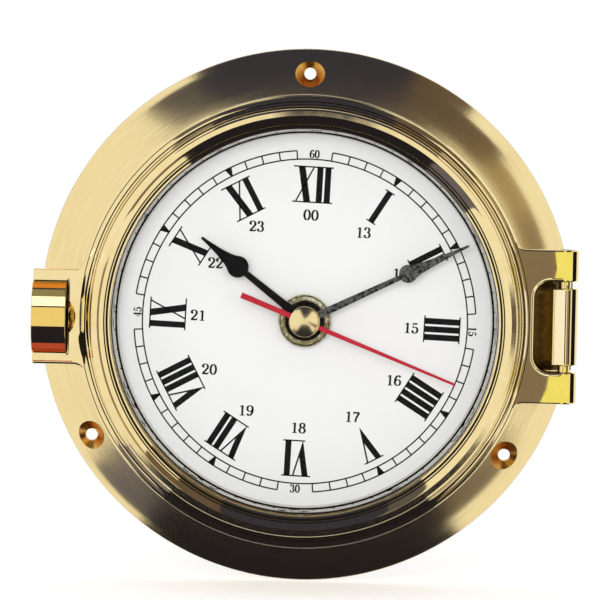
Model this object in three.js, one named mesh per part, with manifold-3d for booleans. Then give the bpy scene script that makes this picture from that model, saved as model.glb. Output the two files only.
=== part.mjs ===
// A brass bulkhead clock: flanged case, hinged bezel with a thumb screw, dial, hands and quartz movement.
// Sizes are millimetres. Every piece is drawn in the face frame: x to the right, y up, z from the bulkhead
// towards the reader, with the bulkhead at z = 0. The last group turns that frame so that the row's +Z is up.
import * as THREE from "three";
import { mergeVertices } from "three/addons/utils/BufferGeometryUtils.js";
import Module from "manifold-3d";

const wasm = await Module();
wasm.setup();

// Fits that many pieces share
const SEAT_GAP = 0.25;
const RUNNING_FIT = 0.08;
const SHAFT_FIT = 0.15;

// Case: flange, drum, spigot and dial ledge
const FLANGE_RADIUS = 60;
const FLANGE_EDGE = 1.5;
const FLANGE_CROWN = 6.5;
const FLANGE_SHOULDER = 2.6;
const FLANGE_FALL = 0.9;
const DRUM_RADIUS = 48.5;
const DRUM_WALL = 3;
const DRUM_HEIGHT = 26;
const SPIGOT_STEP = 1.5;
const SPIGOT_HEIGHT = 4;
const LEDGE_WIDTH = 3.2;
const LEDGE_THICKNESS = 2;
const LEDGE_DEPTH = 3;

// Countersunk fixing holes in the flange
const FIXING_ANGLES = [90, 210, 326];
const FIXING_EDGE_DISTANCE = 5.1;
const FIXING_HOLE_RADIUS = 1.5;
const COUNTERSINK_RADIUS = 3.35;

// Dial and the flared ring above it
const DIAL_THICKNESS = 0.8;
const DIAL_CLEARANCE = 0.4;
const SPACER_HEIGHT = 3.8;
const SPACER_FOOT_WIDTH = 4.1;
const SPACER_TOP_WIDTH = 2.6;
const RING_SCREW_ANGLES = [30, 150, 270];
const RING_SCREW_RADIUS = 0.7;
const RING_SCREW_HEAD_RADIUS = 1.1;
const RING_SCREW_HEAD_HEIGHT = 0.8;

// Bezel ring, from its skirt inwards
const SKIRT_CLEARANCE = 0.4;
const SKIRT_WALL = 2.6;
const SKIRT_CHAMFER = 0.4;
const STEP_CLEARANCE = 0.5;
const LAND_HEIGHT = 5.15;
const LAND_ROUND = 0.7;
const LAND_WIDTH = 1.6;
const COVE_WIDTH = 1.4;
const BEAD_RADIUS = 1.75;
const LIP_WIDTH = 0.8;
const LIP_THICKNESS = 0.6;
const LIP_BEVEL = 0.25;

// Glass, gasket and retaining ring
const GLASS_SEAT = 1.6;
const GLASS_THICKNESS = 2;
const GLASS_CLEARANCE = 0.3;
const GASKET_THICKNESS = 0.5;
const RETAINER_HEIGHT = 1.2;
const RETAINER_WIDTH = 1.9;

// Hinge lug, ears, barrel and pin
const HINGE_REACH = 7.2;
const HINGE_LUG_HALF = 17;
const HINGE_FILLET = 1.8;
const EAR_RADIUS = 3.2;
const EAR_PROUD = 0.15;
const BARREL_RADIUS = 2.9;
const BARREL_LENGTH = 17;
const BARREL_END_GAP = 1.4;
const WINDOW_CORNER = 3.5;
const WINDOW_INSET = 0.2;
const PIN_RADIUS = 1.35;
const PIN_RECESS = 0.3;
const ARM_CLEARANCE = 0.65;
const ARM_SETBACK = 6.2;
const ARM_FOOT_DROP = 12;

// Catch lug, boss and thumb screw
const CATCH_LUG_ARM = 2.2;
const CATCH_FILLET = 2.2;
const CATCH_CORNER = 0.8;
const BOSS_HEIGHT = 1.9;
const BOSS_RADIUS = 5.2;
const BOSS_TAPER = 2.7;
const KNOB_RADIUS = 8;
const KNOB_LENGTH = 7.6;
const KNOB_EDGE = 0.6;
const KNOB_GAP = 0.4;
const KNOB_SIDE_GAP = 0.3;
const STEM_RADIUS = 1.6;
const PAD_GAP = 0.3;
const PAD_THICKNESS = 0.7;
const PAD_RADIUS = 1.5;

// Hands, by their length, spade and stem, with their rest angles counted from x towards y
const HAND_THICKNESS = 0.4;
const HAND_PITCH = 1.25;
const HAND_LIFT = 0.45;
const HUB_WIDTH = 1.3;
const HAND_TIP_HALF = 0.12;
const HOUR_HAND = { length: 29.3, spade: 19, spadeRadius: 2.4, stem: 1.8, angle: 142.1 };
const MINUTE_HAND = { length: 39.9, spade: 25.1, spadeRadius: 2, stem: 1.45, angle: 25.9 };
const SECOND_HAND = { length: 36, tail: 15.1, tipWidth: 0.5, tailWidth: 1.3, angle: -21.6 };
const SPADE_OPENING = 50;
const SPADE_NECK = 1.2;
const SPADE_NECK_HALF = 0.5;
const CAP_RADIUS = 3.4;
const CAP_HEIGHT = 0.9;
const CAP_EDGE = 0.3;

// Nested hand arbors
const HOUR_TUBE_RADIUS = 2.3;
const HOUR_TUBE_BORE = 1.75;
const MINUTE_TUBE_RADIUS = 1.6;
const MINUTE_TUBE_BORE = 0.85;
const SECONDS_ARBOR_RADIUS = 0.6;
const ARBOR_PROUD = 0.1;

// Movement housing
const WASHER_THICKNESS = 0.8;
const WASHER_RADIUS = 9;
const BUSH_RADIUS = 4;
const BUSH_SINK = 1.2;
const NUT_RADIUS = 5.85;
const NUT_HEIGHT = 2.2;
const NUT_NOTCH = 1.2;
const BUSH_PROUD = 0.5;
const HOUSING_SIZE = 56;
const HOUSING_DEPTH = 16.5;
const HOUSING_WALL = 1.5;
const HOUSING_CORNER = 4;
const HOLLOW_CORNER = 1;
const FRONT_WALL = 1.4;
const COVER_THICKNESS = 1.6;
const PARTITION_WALL = 1;
const TRAIN_ROOM = 10.2;
const BEARING_RADIUS = 1.1;
const REAR_BEARING_HEIGHT = 0.7;
const FRONT_BEARING_HEIGHT = 0.4;
const BEARING_SINK = 0.3;

// Battery bay
const BATTERY_RADIUS = 7.25;
const BATTERY_END_ROOM = 0.6;
const BATTERY_NUB_RADIUS = 2.7;
const BATTERY_NUB_LENGTH = 1;
const BATTERY_CLEARANCE = 0.4;
const CONTACT_THICKNESS = 0.4;
const CONTACT_WIDTH = 9;

// Wheel train: teeth, modules and bearings of the arbors round the centre
const TEETH = {
  rotor: 6,
  intermediateWheel: 30,
  intermediatePinion: 6,
  secondsWheel: 36,
  secondsPinion: 6,
  thirdWheel: 45,
  thirdPinion: 6,
  centreWheel: 48,
  cannon: 10,
  motionWheel: 30,
  motionPinion: 8,
  hourWheel: 32,
  alarmPinion: 8,
  alarmWheel: 32,
};
const ROTOR_MODULE = 0.3;
const SECONDS_MODULE = 0.39;
const THIRD_MODULE = 0.32;
const MOTION_MODULE = 0.43;
const GEAR_PLANES = { alarm: 0, hour: 1, motion: 2, centre: 3, third: 4, seconds: 5, rotor: 6 };
const THIRD_ANGLE = 150;
const INTERMEDIATE_ANGLE = 55;
const ROTOR_ANGLE = 80;
const MOTION_ANGLE = -5;
const ALARM_ANGLE = -125;
const ARBOR_RADIUS = 0.5;
const SETTING_ARBOR_RADIUS = 0.8;
const WHEEL_THICKNESS = 0.8;
const PINION_LENGTH = 1.2;
const PLANE_PITCH = 1.5;
const FIRST_PLANE_DROP = 1.2;
const ADDENDUM = 0.75;
const LEAF_DEPTH = 1.1;
const LEAF_ROOT_SHARE = 0.5;
const LEAF_TIP_SHARE = 0.22;
const TOOTH_DEPTH = 1.6;

// Setting knobs at the rear
const SETTING_KNOB_RADIUS = 4.2;
const SETTING_KNOB_HEIGHT = 2.8;
const SETTING_KNOB_FLUTES = 18;
const SETTING_KNOB_ROOF = 1;

// Stepper motor, circuit and alarm parts
const MAGNET_RADIUS = 1.8;
const MAGNET_HEIGHT = 1.7;
const STATOR_GAP = 0.45;
const STATOR_WIDTH = 24;
const STATOR_ARM = 3;
const STATOR_BRIDGE = 1.6;
const STATOR_THICKNESS = 1.6;
const STATOR_HEIGHT = 14.6;
const COIL_RADIUS = 3;
const BOBBIN_RADIUS = 3.6;
const BOBBIN_FLANGE = 0.8;
const COIL_SIDE_GAP = 0.5;
const CORE_WIDTH = 3;
const CORE_THICKNESS = 1.2;
const BOARD_WIDTH = 15;
const BOARD_LENGTH = 11;
const BOARD_THICKNESS = 0.8;
const BOARD_WALL_GAP = 2;
const BOARD_POST_RADIUS = 1.5;
const BOARD_POST_LENGTH = 7.5;
const CRYSTAL_RADIUS = 1;
const CRYSTAL_LENGTH = 6;
const BUZZER_RADIUS = 5.2;
const BUZZER_HEIGHT = 3.6;
const BUZZER_WALL_GAP = 0.7;
const BUZZER_RISE = 2.5;
const SWITCH_WALL_GAP = 3.5;
const SWITCH_RISE = 4;
const SWITCH_WIDTH = 5;
const SWITCH_LENGTH = 4;
const SWITCH_STEM_WIDTH = 2.2;
const SWITCH_STEM_LENGTH = 2.6;
const SWITCH_BASE_HEIGHT = 1.8;
const SWITCH_TAB_HEIGHT = 1.6;
const SWITCH_TRAVEL = 3;

// Facets
const RING_SIDES = 52;
const HIDDEN_RING_SIDES = 36;
const KNOB_SIDES = 32;
const ROUND_SIDES = 16;
const PIN_SIDES = 12;
const SHAFT_SIDES = 8;
const ARC_STEPS = 4;
const FLANGE_STEPS = 5;
const BEAD_STEPS = 6;
const COVE_STEPS = 3;
const EDGE_STEPS = 2;
const WELD_DISTANCE = 1e-4;
const OVERSHOOT = 1;

// Geometry helpers

/** A closed geometry as a solid that can be joined and cut, with its faces pointing out. */
function solidOf(geometry) {
  const bare = geometry.clone();
  bare.deleteAttribute("normal");
  bare.deleteAttribute("uv");
  const welded = mergeVertices(bare, WELD_DISTANCE);
  const index = welded.index.array;
  const corners = [];
  let volume = 0;
  const place = [new THREE.Vector3(), new THREE.Vector3(), new THREE.Vector3()];
  for (let i = 0; i < index.length; i += 3) {
    const face = [index[i], index[i + 1], index[i + 2]];
    if (new Set(face).size < face.length) continue;
    corners.push(...face);
    face.forEach((vertex, k) => place[k].fromBufferAttribute(welded.attributes.position, vertex));
    volume += place[0].dot(place[1].cross(place[2]));
  }
  if (volume < 0) corners.reverse();
  const vertProperties = welded.attributes.position.array;
  return new wasm.Manifold(new wasm.Mesh({ numProp: 3, vertProperties, triVerts: new Uint32Array(corners) }));
}

/** A solid's surface as a geometry again. */
function geometryOf(solid) {
  const { vertProperties, triVerts } = solid.getMesh();
  const geometry = new THREE.BufferGeometry();
  geometry.setAttribute("position", new THREE.BufferAttribute(vertProperties, 3));
  geometry.setIndex(new THREE.BufferAttribute(triVerts, 1));
  return geometry;
}

/** All the geometries joined into one body. */
function join(...geometries) {
  return geometryOf(geometries.map(solidOf).reduce((whole, next) => whole.add(next)));
}

/** The first geometry with the others cut out of it. */
function cut(body, ...tools) {
  return geometryOf(tools.map(solidOf).reduce((rest, tool) => rest.subtract(tool), solidOf(body)));
}

/** Degrees to radians. */
function radians(degrees) {
  return THREE.MathUtils.degToRad(degrees);
}

/** A point [x, y] at a distance and an angle in degrees from a centre. */
function polar(distance, degrees, [x, y] = [0, 0]) {
  return [x + distance * Math.cos(radians(degrees)), y + distance * Math.sin(radians(degrees))];
}

/** Points of an arc, from one angle to another in degrees. */
function arc(centre, radius, from, to, steps) {
  const points = [];
  for (let i = 0; i <= steps; i += 1) points.push(polar(radius, from + ((to - from) * i) / steps, centre));
  return points;
}

/** A closed outline of [radius, height] points, turned about the y axis. */
function spun(outline, sides) {
  const points = [...outline, outline[0]].map(([radius, height]) => new THREE.Vector2(radius, height));
  return new THREE.LatheGeometry(points, sides);
}

/** The same outline turned about the z axis, with its heights along z. */
function turned(outline, sides = RING_SIDES) {
  return spun(outline, sides).rotateX(Math.PI / 2);
}

/** A plain round bar along z, at [x, y]. */
function bar(radius, low, high, [x, y] = [0, 0], sides = SHAFT_SIDES) {
  return turned([[0, low], [radius, low], [radius, high], [0, high]], sides).translate(x, y, 0);
}

/** A plain round bar along y, at [x, z]. */
function uprightBar(radius, low, high, [x, z], sides = PIN_SIDES) {
  return spun([[0, low], [radius, low], [radius, high], [0, high]], sides).translate(x, 0, z);
}

/** A flat shape in x and y with straight sides from one height to another. */
function prism(shape, low, high) {
  const options = { depth: high - low, bevelEnabled: false, curveSegments: ARC_STEPS };
  return new THREE.ExtrudeGeometry(shape, options).translate(0, 0, low);
}

/** A box between two [x, y] corners and two heights. */
function block([left, bottom], [right, top], low, high) {
  const middle = [(left + right) / 2, (bottom + top) / 2, (low + high) / 2];
  return new THREE.BoxGeometry(right - left, top - bottom, high - low).translate(...middle);
}

/** A box of a size [x, y] round a centre [x, y], between two heights. */
function centredBlock([width, height], [x, y], low, high) {
  return block([x - width / 2, y - height / 2], [x + width / 2, y + height / 2], low, high);
}

/** A rectangle with rounded corners, its sides at plus and minus half a width, between two levels of y. */
function roundedRectangle(half, bottom, top, corner) {
  const side = half - corner;
  const shape = new THREE.Shape();
  shape.absarc(side, top - corner, corner, 0, Math.PI / 2);
  shape.absarc(-side, top - corner, corner, Math.PI / 2, Math.PI);
  shape.absarc(-side, bottom + corner, corner, Math.PI, Math.PI * 1.5);
  shape.absarc(side, bottom + corner, corner, Math.PI * 1.5, Math.PI * 2);
  return shape;
}

const clock = new THREE.Group();

/** Adds one named piece to the clock. */
function piece(name, geometry, [color, roughness, metalness]) {
  const material = new THREE.MeshStandardMaterial({ color, roughness, metalness });
  const mesh = new THREE.Mesh(join(geometry), material);
  mesh.name = name;
  clock.add(mesh);
}

// Finishes as [colour, roughness, metalness]
const POLISHED_BRASS = [0xc9a24a, 0.22, 1];
const PLAIN_BRASS = [0xb8923f, 0.4, 1];
const STEEL = [0x9c9c98, 0.35, 1];
const WHITE_ENAMEL = [0xf2f2ee, 0.5, 0];
const CLEAR_GLASS = [0xeef4f2, 0.05, 0];
const BLACK_RUBBER = [0x1b1b1b, 0.85, 0];
const BLACK_PAINT = [0x111111, 0.45, 0];
const RED_PAINT = [0xc42218, 0.45, 0];
const BLACK_PLASTIC = [0x202124, 0.6, 0];
const IVORY_PLASTIC = [0xe6e0cf, 0.55, 0];
const COPPER = [0xb06a38, 0.45, 1];
const BOARD_GREEN = [0x2d5a3a, 0.6, 0];
const BATTERY_SLEEVE = [0x3a3d44, 0.4, 0];

// Radii and heights that follow from the sizes above
const drumInner = DRUM_RADIUS - DRUM_WALL;
const spigotRadius = DRUM_RADIUS - SPIGOT_STEP;
const spigotTop = DRUM_HEIGHT + SPIGOT_HEIGHT;
const ledgeTop = DRUM_HEIGHT - LEDGE_DEPTH;
const ledgeFoot = ledgeTop - LEDGE_THICKNESS;
const ledgeInner = drumInner - LEDGE_WIDTH;
const dialFoot = ledgeTop + SEAT_GAP;
const dialTop = dialFoot + DIAL_THICKNESS;
const dialRadius = drumInner - DIAL_CLEARANCE;
const spacerFoot = dialTop + SEAT_GAP;
const spacerTop = spacerFoot + SPACER_HEIGHT;
const ringScrewCircle = dialRadius - SPACER_TOP_WIDTH / 2;

const skirtInner = spigotRadius + SKIRT_CLEARANCE;
const skirtOuter = skirtInner + SKIRT_WALL;
const bezelFoot = DRUM_HEIGHT + SEAT_GAP;
const landTop = bezelFoot + LAND_HEIGHT;
const landInner = skirtOuter - LAND_WIDTH;
const beadOuter = landInner - COVE_WIDTH;
const beadCentre = beadOuter - BEAD_RADIUS;
const beadInner = beadCentre - BEAD_RADIUS;
const lipInner = beadInner - LIP_WIDTH;
const glassBore = lipInner + GLASS_SEAT;
const glassRadius = glassBore - GLASS_CLEARANCE;
const retainerInner = glassRadius - RETAINER_WIDTH;
const stepHeight = spigotTop + STEP_CLEARANCE;
const retainerFoot = stepHeight + SEAT_GAP;
const retainerTop = retainerFoot + RETAINER_HEIGHT;
const glassFoot = retainerTop + SEAT_GAP;
const glassTop = glassFoot + GLASS_THICKNESS;
const gasketFoot = glassTop + SEAT_GAP;
const gasketTop = gasketFoot + GASKET_THICKNESS;
const lipFoot = gasketTop + SEAT_GAP;
const lipTop = lipFoot + LIP_THICKNESS;

const hingeX = skirtOuter + HINGE_REACH;
const hingeHeight = landTop + EAR_PROUD - EAR_RADIUS;
const windowHalf = BARREL_LENGTH / 2 + BARREL_END_GAP;
const lockHeight = (bezelFoot + landTop) / 2;
const bossFace = skirtOuter + BOSS_HEIGHT;
const knobFoot = bossFace + KNOB_GAP;
const knobEnd = knobFoot + KNOB_LENGTH;
const slotHalf = KNOB_RADIUS + KNOB_SIDE_GAP;
const padFoot = spigotRadius + PAD_GAP;
const padTop = padFoot + PAD_THICKNESS;
const stemTip = padTop + SEAT_GAP;

const nutFoot = dialTop + SEAT_GAP;
const nutTop = nutFoot + NUT_HEIGHT;
const bushTop = nutTop + BUSH_PROUD;
const hourHandFoot = bushTop + HAND_LIFT;
const minuteHandFoot = hourHandFoot + HAND_PITCH;
const secondHandFoot = minuteHandFoot + HAND_PITCH;
const hourTubeTop = hourHandFoot + HAND_THICKNESS + ARBOR_PROUD;
const minuteTubeTop = minuteHandFoot + HAND_THICKNESS + ARBOR_PROUD;
const secondsArborTop = secondHandFoot + HAND_THICKNESS + ARBOR_PROUD;
const capFoot = secondsArborTop + SEAT_GAP;

const washerTop = dialFoot - SEAT_GAP;
const washerFoot = washerTop - WASHER_THICKNESS;
const housingFront = washerFoot - SEAT_GAP;
const housingFloor = housingFront - FRONT_WALL;
const coverFoot = housingFront - HOUSING_DEPTH;
const coverTop = coverFoot + COVER_THICKNESS;
const housingRear = coverTop + SEAT_GAP;
const housingHalf = HOUSING_SIZE / 2;
const housingInnerHalf = housingHalf - HOUSING_WALL;

// Case

const flangeCurve = new THREE.QuadraticBezierCurve(
  new THREE.Vector2(FLANGE_RADIUS, FLANGE_EDGE),
  new THREE.Vector2(FLANGE_RADIUS - FLANGE_SHOULDER, FLANGE_CROWN - FLANGE_FALL),
  new THREE.Vector2(DRUM_RADIUS, FLANGE_CROWN),
);

/** The flange's height at a radius, by halving the stretch of its curve. */
function flangeHeight(radius) {
  let [low, high] = [0, 1];
  while (high - low > WELD_DISTANCE) {
    const middle = (low + high) / 2;
    if (flangeCurve.getPoint(middle).x > radius) low = middle;
    else high = middle;
  }
  return flangeCurve.getPoint(low).y;
}

/** A clearance hole with a 90 degree countersink, for one flange screw. */
function fixingHole(degrees) {
  const circle = FLANGE_RADIUS - FIXING_EDGE_DISTANCE;
  const seat = flangeHeight(circle);
  const throat = seat - (COUNTERSINK_RADIUS - FIXING_HOLE_RADIUS);
  const outline = [
    [0, -OVERSHOOT],
    [FIXING_HOLE_RADIUS, -OVERSHOOT],
    [FIXING_HOLE_RADIUS, throat],
    [COUNTERSINK_RADIUS, seat],
    [COUNTERSINK_RADIUS, FLANGE_CROWN + OVERSHOOT],
    [0, FLANGE_CROWN + OVERSHOOT],
  ];
  const [x, y] = polar(circle, degrees);
  return turned(outline, ROUND_SIDES).translate(x, y, 0);
}

/** A threaded hole for one screw of the flared ring, through all that it passes. */
function ringScrewHole(degrees) {
  const place = polar(ringScrewCircle, degrees);
  return bar(RING_SCREW_RADIUS + SHAFT_FIT, ledgeFoot - OVERSHOOT, spacerTop + OVERSHOOT, place);
}

/** The barrel of the hinge with the arm that carries it, standing off the drum. */
function hingeBarrel() {
  const root = (DRUM_RADIUS + drumInner) / 2;
  const armTop = bezelFoot - ARM_CLEARANCE;
  const side = new THREE.Shape();
  side.moveTo(root, armTop);
  side.lineTo(hingeX - ARM_SETBACK, armTop);
  side.lineTo(hingeX - BARREL_RADIUS, hingeHeight);
  side.absarc(hingeX, hingeHeight, BARREL_RADIUS, Math.PI, -Math.PI / 4, true);
  side.quadraticCurveTo(hingeX - BARREL_RADIUS, armTop - ARM_FOOT_DROP / 2, root, armTop - ARM_FOOT_DROP);
  return prism(side, -BARREL_LENGTH / 2, BARREL_LENGTH / 2).rotateX(Math.PI / 2);
}

function caseBody() {
  const shell = turned([
    [drumInner, 0],
    [FLANGE_RADIUS, 0],
    ...flangeCurve.getPoints(FLANGE_STEPS).map(({ x, y }) => [x, y]),
    [DRUM_RADIUS, DRUM_HEIGHT],
    [spigotRadius, DRUM_HEIGHT],
    [spigotRadius, spigotTop],
    [drumInner, spigotTop],
    [drumInner, ledgeTop],
    [ledgeInner, ledgeTop],
    [ledgeInner, ledgeFoot],
    [drumInner, ledgeFoot],
  ]);
  const pinBore = uprightBar(PIN_RADIUS + RUNNING_FIT, -BARREL_LENGTH, BARREL_LENGTH, [hingeX, hingeHeight]);
  const holes = [...FIXING_ANGLES.map(fixingHole), ...RING_SCREW_ANGLES.map(ringScrewHole)];
  return cut(join(shell, hingeBarrel()), pinBore, ...holes);
}

function hingePin() {
  const end = HINGE_LUG_HALF - PIN_RECESS;
  const neck = end - PIN_RECESS;
  const tipRadius = PIN_RADIUS - PIN_RECESS;
  const lowerHalf = [[0, -end], [tipRadius, -end], [PIN_RADIUS, -neck]];
  const upperHalf = [[PIN_RADIUS, neck], [tipRadius, end], [0, end]];
  return spun([...lowerHalf, ...upperHalf], PIN_SIDES).translate(hingeX, 0, hingeHeight);
}

function dialPlate() {
  const bore = BUSH_RADIUS + SHAFT_FIT;
  const outline = [[bore, dialFoot], [dialRadius, dialFoot], [dialRadius, dialTop], [bore, dialTop]];
  return cut(turned(outline, HIDDEN_RING_SIDES), ...RING_SCREW_ANGLES.map(ringScrewHole));
}

function dialSpacerRing() {
  const outline = [
    [dialRadius - SPACER_FOOT_WIDTH, spacerFoot],
    [dialRadius, spacerFoot],
    [dialRadius, spacerTop],
    [dialRadius - SPACER_TOP_WIDTH, spacerTop],
  ];
  return cut(turned(outline, RING_SIDES), ...RING_SCREW_ANGLES.map(ringScrewHole));
}

function ringScrew(degrees) {
  const headFoot = spacerTop + SEAT_GAP;
  const headTop = headFoot + RING_SCREW_HEAD_HEIGHT;
  const [x, y] = polar(ringScrewCircle, degrees);
  const outline = [
    [0, ledgeFoot],
    [RING_SCREW_RADIUS, ledgeFoot],
    [RING_SCREW_RADIUS, headFoot],
    [RING_SCREW_HEAD_RADIUS, headFoot],
    [RING_SCREW_HEAD_RADIUS, headTop],
    [0, headTop],
  ];
  return turned(outline, SHAFT_SIDES).translate(x, y, 0);
}

piece("case_body", caseBody(), POLISHED_BRASS);
piece("hinge_pin", hingePin(), STEEL);
piece("dial_plate", dialPlate(), WHITE_ENAMEL);
piece("dial_spacer_ring", dialSpacerRing(), POLISHED_BRASS);
RING_SCREW_ANGLES.forEach((degrees, i) => piece(`ring_screw_${i + 1}`, ringScrew(degrees), STEEL));

// Bezel

/** The plan of a lug that leaves the round skirt on fillets, drawn towards +x. */
function lugPlan(half, reach, fillet, corner) {
  const root = Math.sqrt((skirtOuter + fillet) ** 2 - (half + fillet) ** 2);
  const spread = Math.atan2(half + fillet, root);
  const middle = (skirtInner + skirtOuter) / 2;
  const plan = new THREE.Shape();
  plan.absarc(0, 0, middle, spread, -spread, true);
  plan.absarc(root, -half - fillet, fillet, Math.PI - spread, Math.PI / 2, true);
  plan.absarc(reach - corner, -half + corner, corner, -Math.PI / 2, 0, false);
  plan.absarc(reach - corner, half - corner, corner, 0, Math.PI / 2, false);
  plan.absarc(root, half + fillet, fillet, -Math.PI / 2, spread - Math.PI, true);
  return plan;
}

/** The opening in the hinge lug that the barrel stands in, with round inner corners. */
function hingeWindow() {
  const end = hingeX + EAR_RADIUS + OVERSHOOT;
  const inner = skirtOuter - WINDOW_INSET + WINDOW_CORNER;
  const plan = new THREE.Shape();
  plan.moveTo(end, -windowHalf);
  plan.lineTo(end, windowHalf);
  plan.absarc(inner, windowHalf - WINDOW_CORNER, WINDOW_CORNER, Math.PI / 2, Math.PI, false);
  plan.absarc(inner, WINDOW_CORNER - windowHalf, WINDOW_CORNER, Math.PI, Math.PI * 1.5, false);
  return prism(plan, hingeHeight - EAR_RADIUS - OVERSHOOT, landTop + EAR_PROUD + OVERSHOOT);
}

function bezelRing() {
  const ring = turned([
    [skirtInner, bezelFoot],
    [skirtOuter - SKIRT_CHAMFER, bezelFoot],
    [skirtOuter, bezelFoot + SKIRT_CHAMFER],
    ...arc([skirtOuter - LAND_ROUND, landTop - LAND_ROUND], LAND_ROUND, 0, 90, EDGE_STEPS),
    ...arc([landInner, landTop + COVE_WIDTH], COVE_WIDTH, 270, 180, COVE_STEPS),
    ...arc([beadCentre, lipTop], BEAD_RADIUS, 0, 180, BEAD_STEPS),
    [lipInner, lipTop - LIP_BEVEL],
    [lipInner, lipFoot],
    [glassBore, lipFoot],
    [glassBore, stepHeight],
    [skirtInner, stepHeight],
  ]);
  const ears = uprightBar(EAR_RADIUS, -HINGE_LUG_HALF, HINGE_LUG_HALF, [hingeX, hingeHeight], ROUND_SIDES);
  const hingeLug = prism(lugPlan(HINGE_LUG_HALF, hingeX, HINGE_FILLET, LAND_ROUND), bezelFoot, landTop);
  const pinRadius = PIN_RADIUS + RUNNING_FIT;
  const pinBore = uprightBar(pinRadius, -HINGE_LUG_HALF * 2, HINGE_LUG_HALF * 2, [hingeX, hingeHeight]);
  const hingeSide = cut(join(hingeLug, ears), hingeWindow(), pinBore);

  const catchPlan = lugPlan(slotHalf + CATCH_LUG_ARM, knobEnd, CATCH_FILLET, CATCH_CORNER);
  const catchLug = prism(catchPlan, bezelFoot, landTop).rotateZ(Math.PI);
  const slotLow = lockHeight - KNOB_RADIUS;
  const slotHigh = lockHeight + KNOB_RADIUS;
  const slot = block([-knobEnd - OVERSHOOT, -slotHalf], [-bossFace, slotHalf], slotLow, slotHigh);
  const bossRoot = skirtOuter - LAND_WIDTH;
  const bossNarrow = BOSS_RADIUS - BOSS_TAPER;
  const bossOutline = [[0, bossRoot], [bossNarrow, bossRoot], [BOSS_RADIUS, bossFace], [0, bossFace]];
  const boss = acrossTheLock(bossOutline, ROUND_SIDES);
  const stemBore = STEM_RADIUS + SHAFT_FIT;
  const throughSkirt = [[0, spigotRadius], [stemBore, spigotRadius], [stemBore, knobEnd], [0, knobEnd]];
  const stemHole = acrossTheLock(throughSkirt, SHAFT_SIDES);
  return cut(join(ring, hingeSide, cut(catchLug, slot), boss), stemHole);
}

/** An outline of [radius, distance from the centre], turned about the thumb screw's axis on the left. */
function acrossTheLock(outline, sides) {
  return spun(outline, sides).rotateZ(Math.PI / 2).translate(0, 0, lockHeight);
}

function glassDisc() {
  return bar(glassRadius, glassFoot, glassTop, [0, 0], HIDDEN_RING_SIDES);
}

/** A flat ring of the glass's outer radius, between two heights. */
function glassRing(inner, low, high) {
  return turned([[inner, low], [glassRadius, low], [glassRadius, high], [inner, high]], HIDDEN_RING_SIDES);
}

function lockScrew() {
  const outline = [
    [0, stemTip],
    [STEM_RADIUS, stemTip],
    [STEM_RADIUS, knobFoot],
    [KNOB_RADIUS - KNOB_EDGE, knobFoot],
    [KNOB_RADIUS, knobFoot + KNOB_EDGE],
    [KNOB_RADIUS, knobEnd - KNOB_EDGE],
    [KNOB_RADIUS - KNOB_EDGE, knobEnd],
    [0, knobEnd],
  ];
  return acrossTheLock(outline, KNOB_SIDES);
}

function lockPad() {
  return acrossTheLock([[0, padFoot], [PAD_RADIUS, padFoot], [PAD_RADIUS, padTop], [0, padTop]], SHAFT_SIDES);
}

piece("bezel_ring", bezelRing(), POLISHED_BRASS);
piece("glass", glassDisc(), CLEAR_GLASS);
piece("glass_gasket", glassRing(lipInner, gasketFoot, gasketTop), BLACK_RUBBER);
piece("glass_retaining_ring", glassRing(retainerInner, retainerFoot, retainerTop), PLAIN_BRASS);
piece("lock_screw", lockScrew(), POLISHED_BRASS);
piece("lock_screw_pad", lockPad(), PLAIN_BRASS);

// Hands

/** A spade hand along +x: straight stem, round spade and a long point. */
function spadePlan({ length, spade, spadeRadius, stem }) {
  const half = stem / 2;
  const root = Math.asin(half / spadeRadius);
  const opening = radians(SPADE_OPENING);
  const neck = spade + spadeRadius + SPADE_NECK;
  const start = polar(spadeRadius, SPADE_OPENING, [spade, 0]);
  const plan = new THREE.Shape();
  plan.moveTo(0, -half);
  plan.absarc(spade, 0, spadeRadius, Math.PI + root, -opening, false);
  plan.quadraticCurveTo(neck, -SPADE_NECK_HALF, length, -HAND_TIP_HALF);
  plan.lineTo(length, HAND_TIP_HALF);
  plan.quadraticCurveTo(neck, SPADE_NECK_HALF, ...start);
  plan.absarc(spade, 0, spadeRadius, opening, Math.PI - root, false);
  plan.lineTo(0, half);
  return plan;
}

/** A flat hand with a round hub, bored for its arbor and turned to its rest angle. */
function hand(plan, foot, arborRadius, degrees) {
  const top = foot + HAND_THICKNESS;
  const hub = bar(arborRadius + HUB_WIDTH, foot, top, [0, 0], ROUND_SIDES);
  const bore = bar(arborRadius + RUNNING_FIT, foot - OVERSHOOT, top + OVERSHOOT, [0, 0], ROUND_SIDES);
  return cut(join(prism(plan, foot, top), hub), bore).rotateZ(radians(degrees));
}

/** The second hand along +x: a slim taper with a wider tail. */
function secondPlan({ length, tail, tipWidth, tailWidth }) {
  const plan = new THREE.Shape();
  plan.moveTo(-tail, -tailWidth / 2);
  plan.lineTo(length, -tipWidth / 2);
  plan.lineTo(length, tipWidth / 2);
  plan.lineTo(-tail, tailWidth / 2);
  return plan;
}

function secondHandCap() {
  const top = capFoot + CAP_HEIGHT;
  const outline = [
    [0, capFoot],
    [CAP_RADIUS, capFoot],
    [CAP_RADIUS, top - CAP_EDGE],
    [CAP_RADIUS - CAP_EDGE, top],
    [0, top],
  ];
  return turned(outline, ROUND_SIDES);
}

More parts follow.
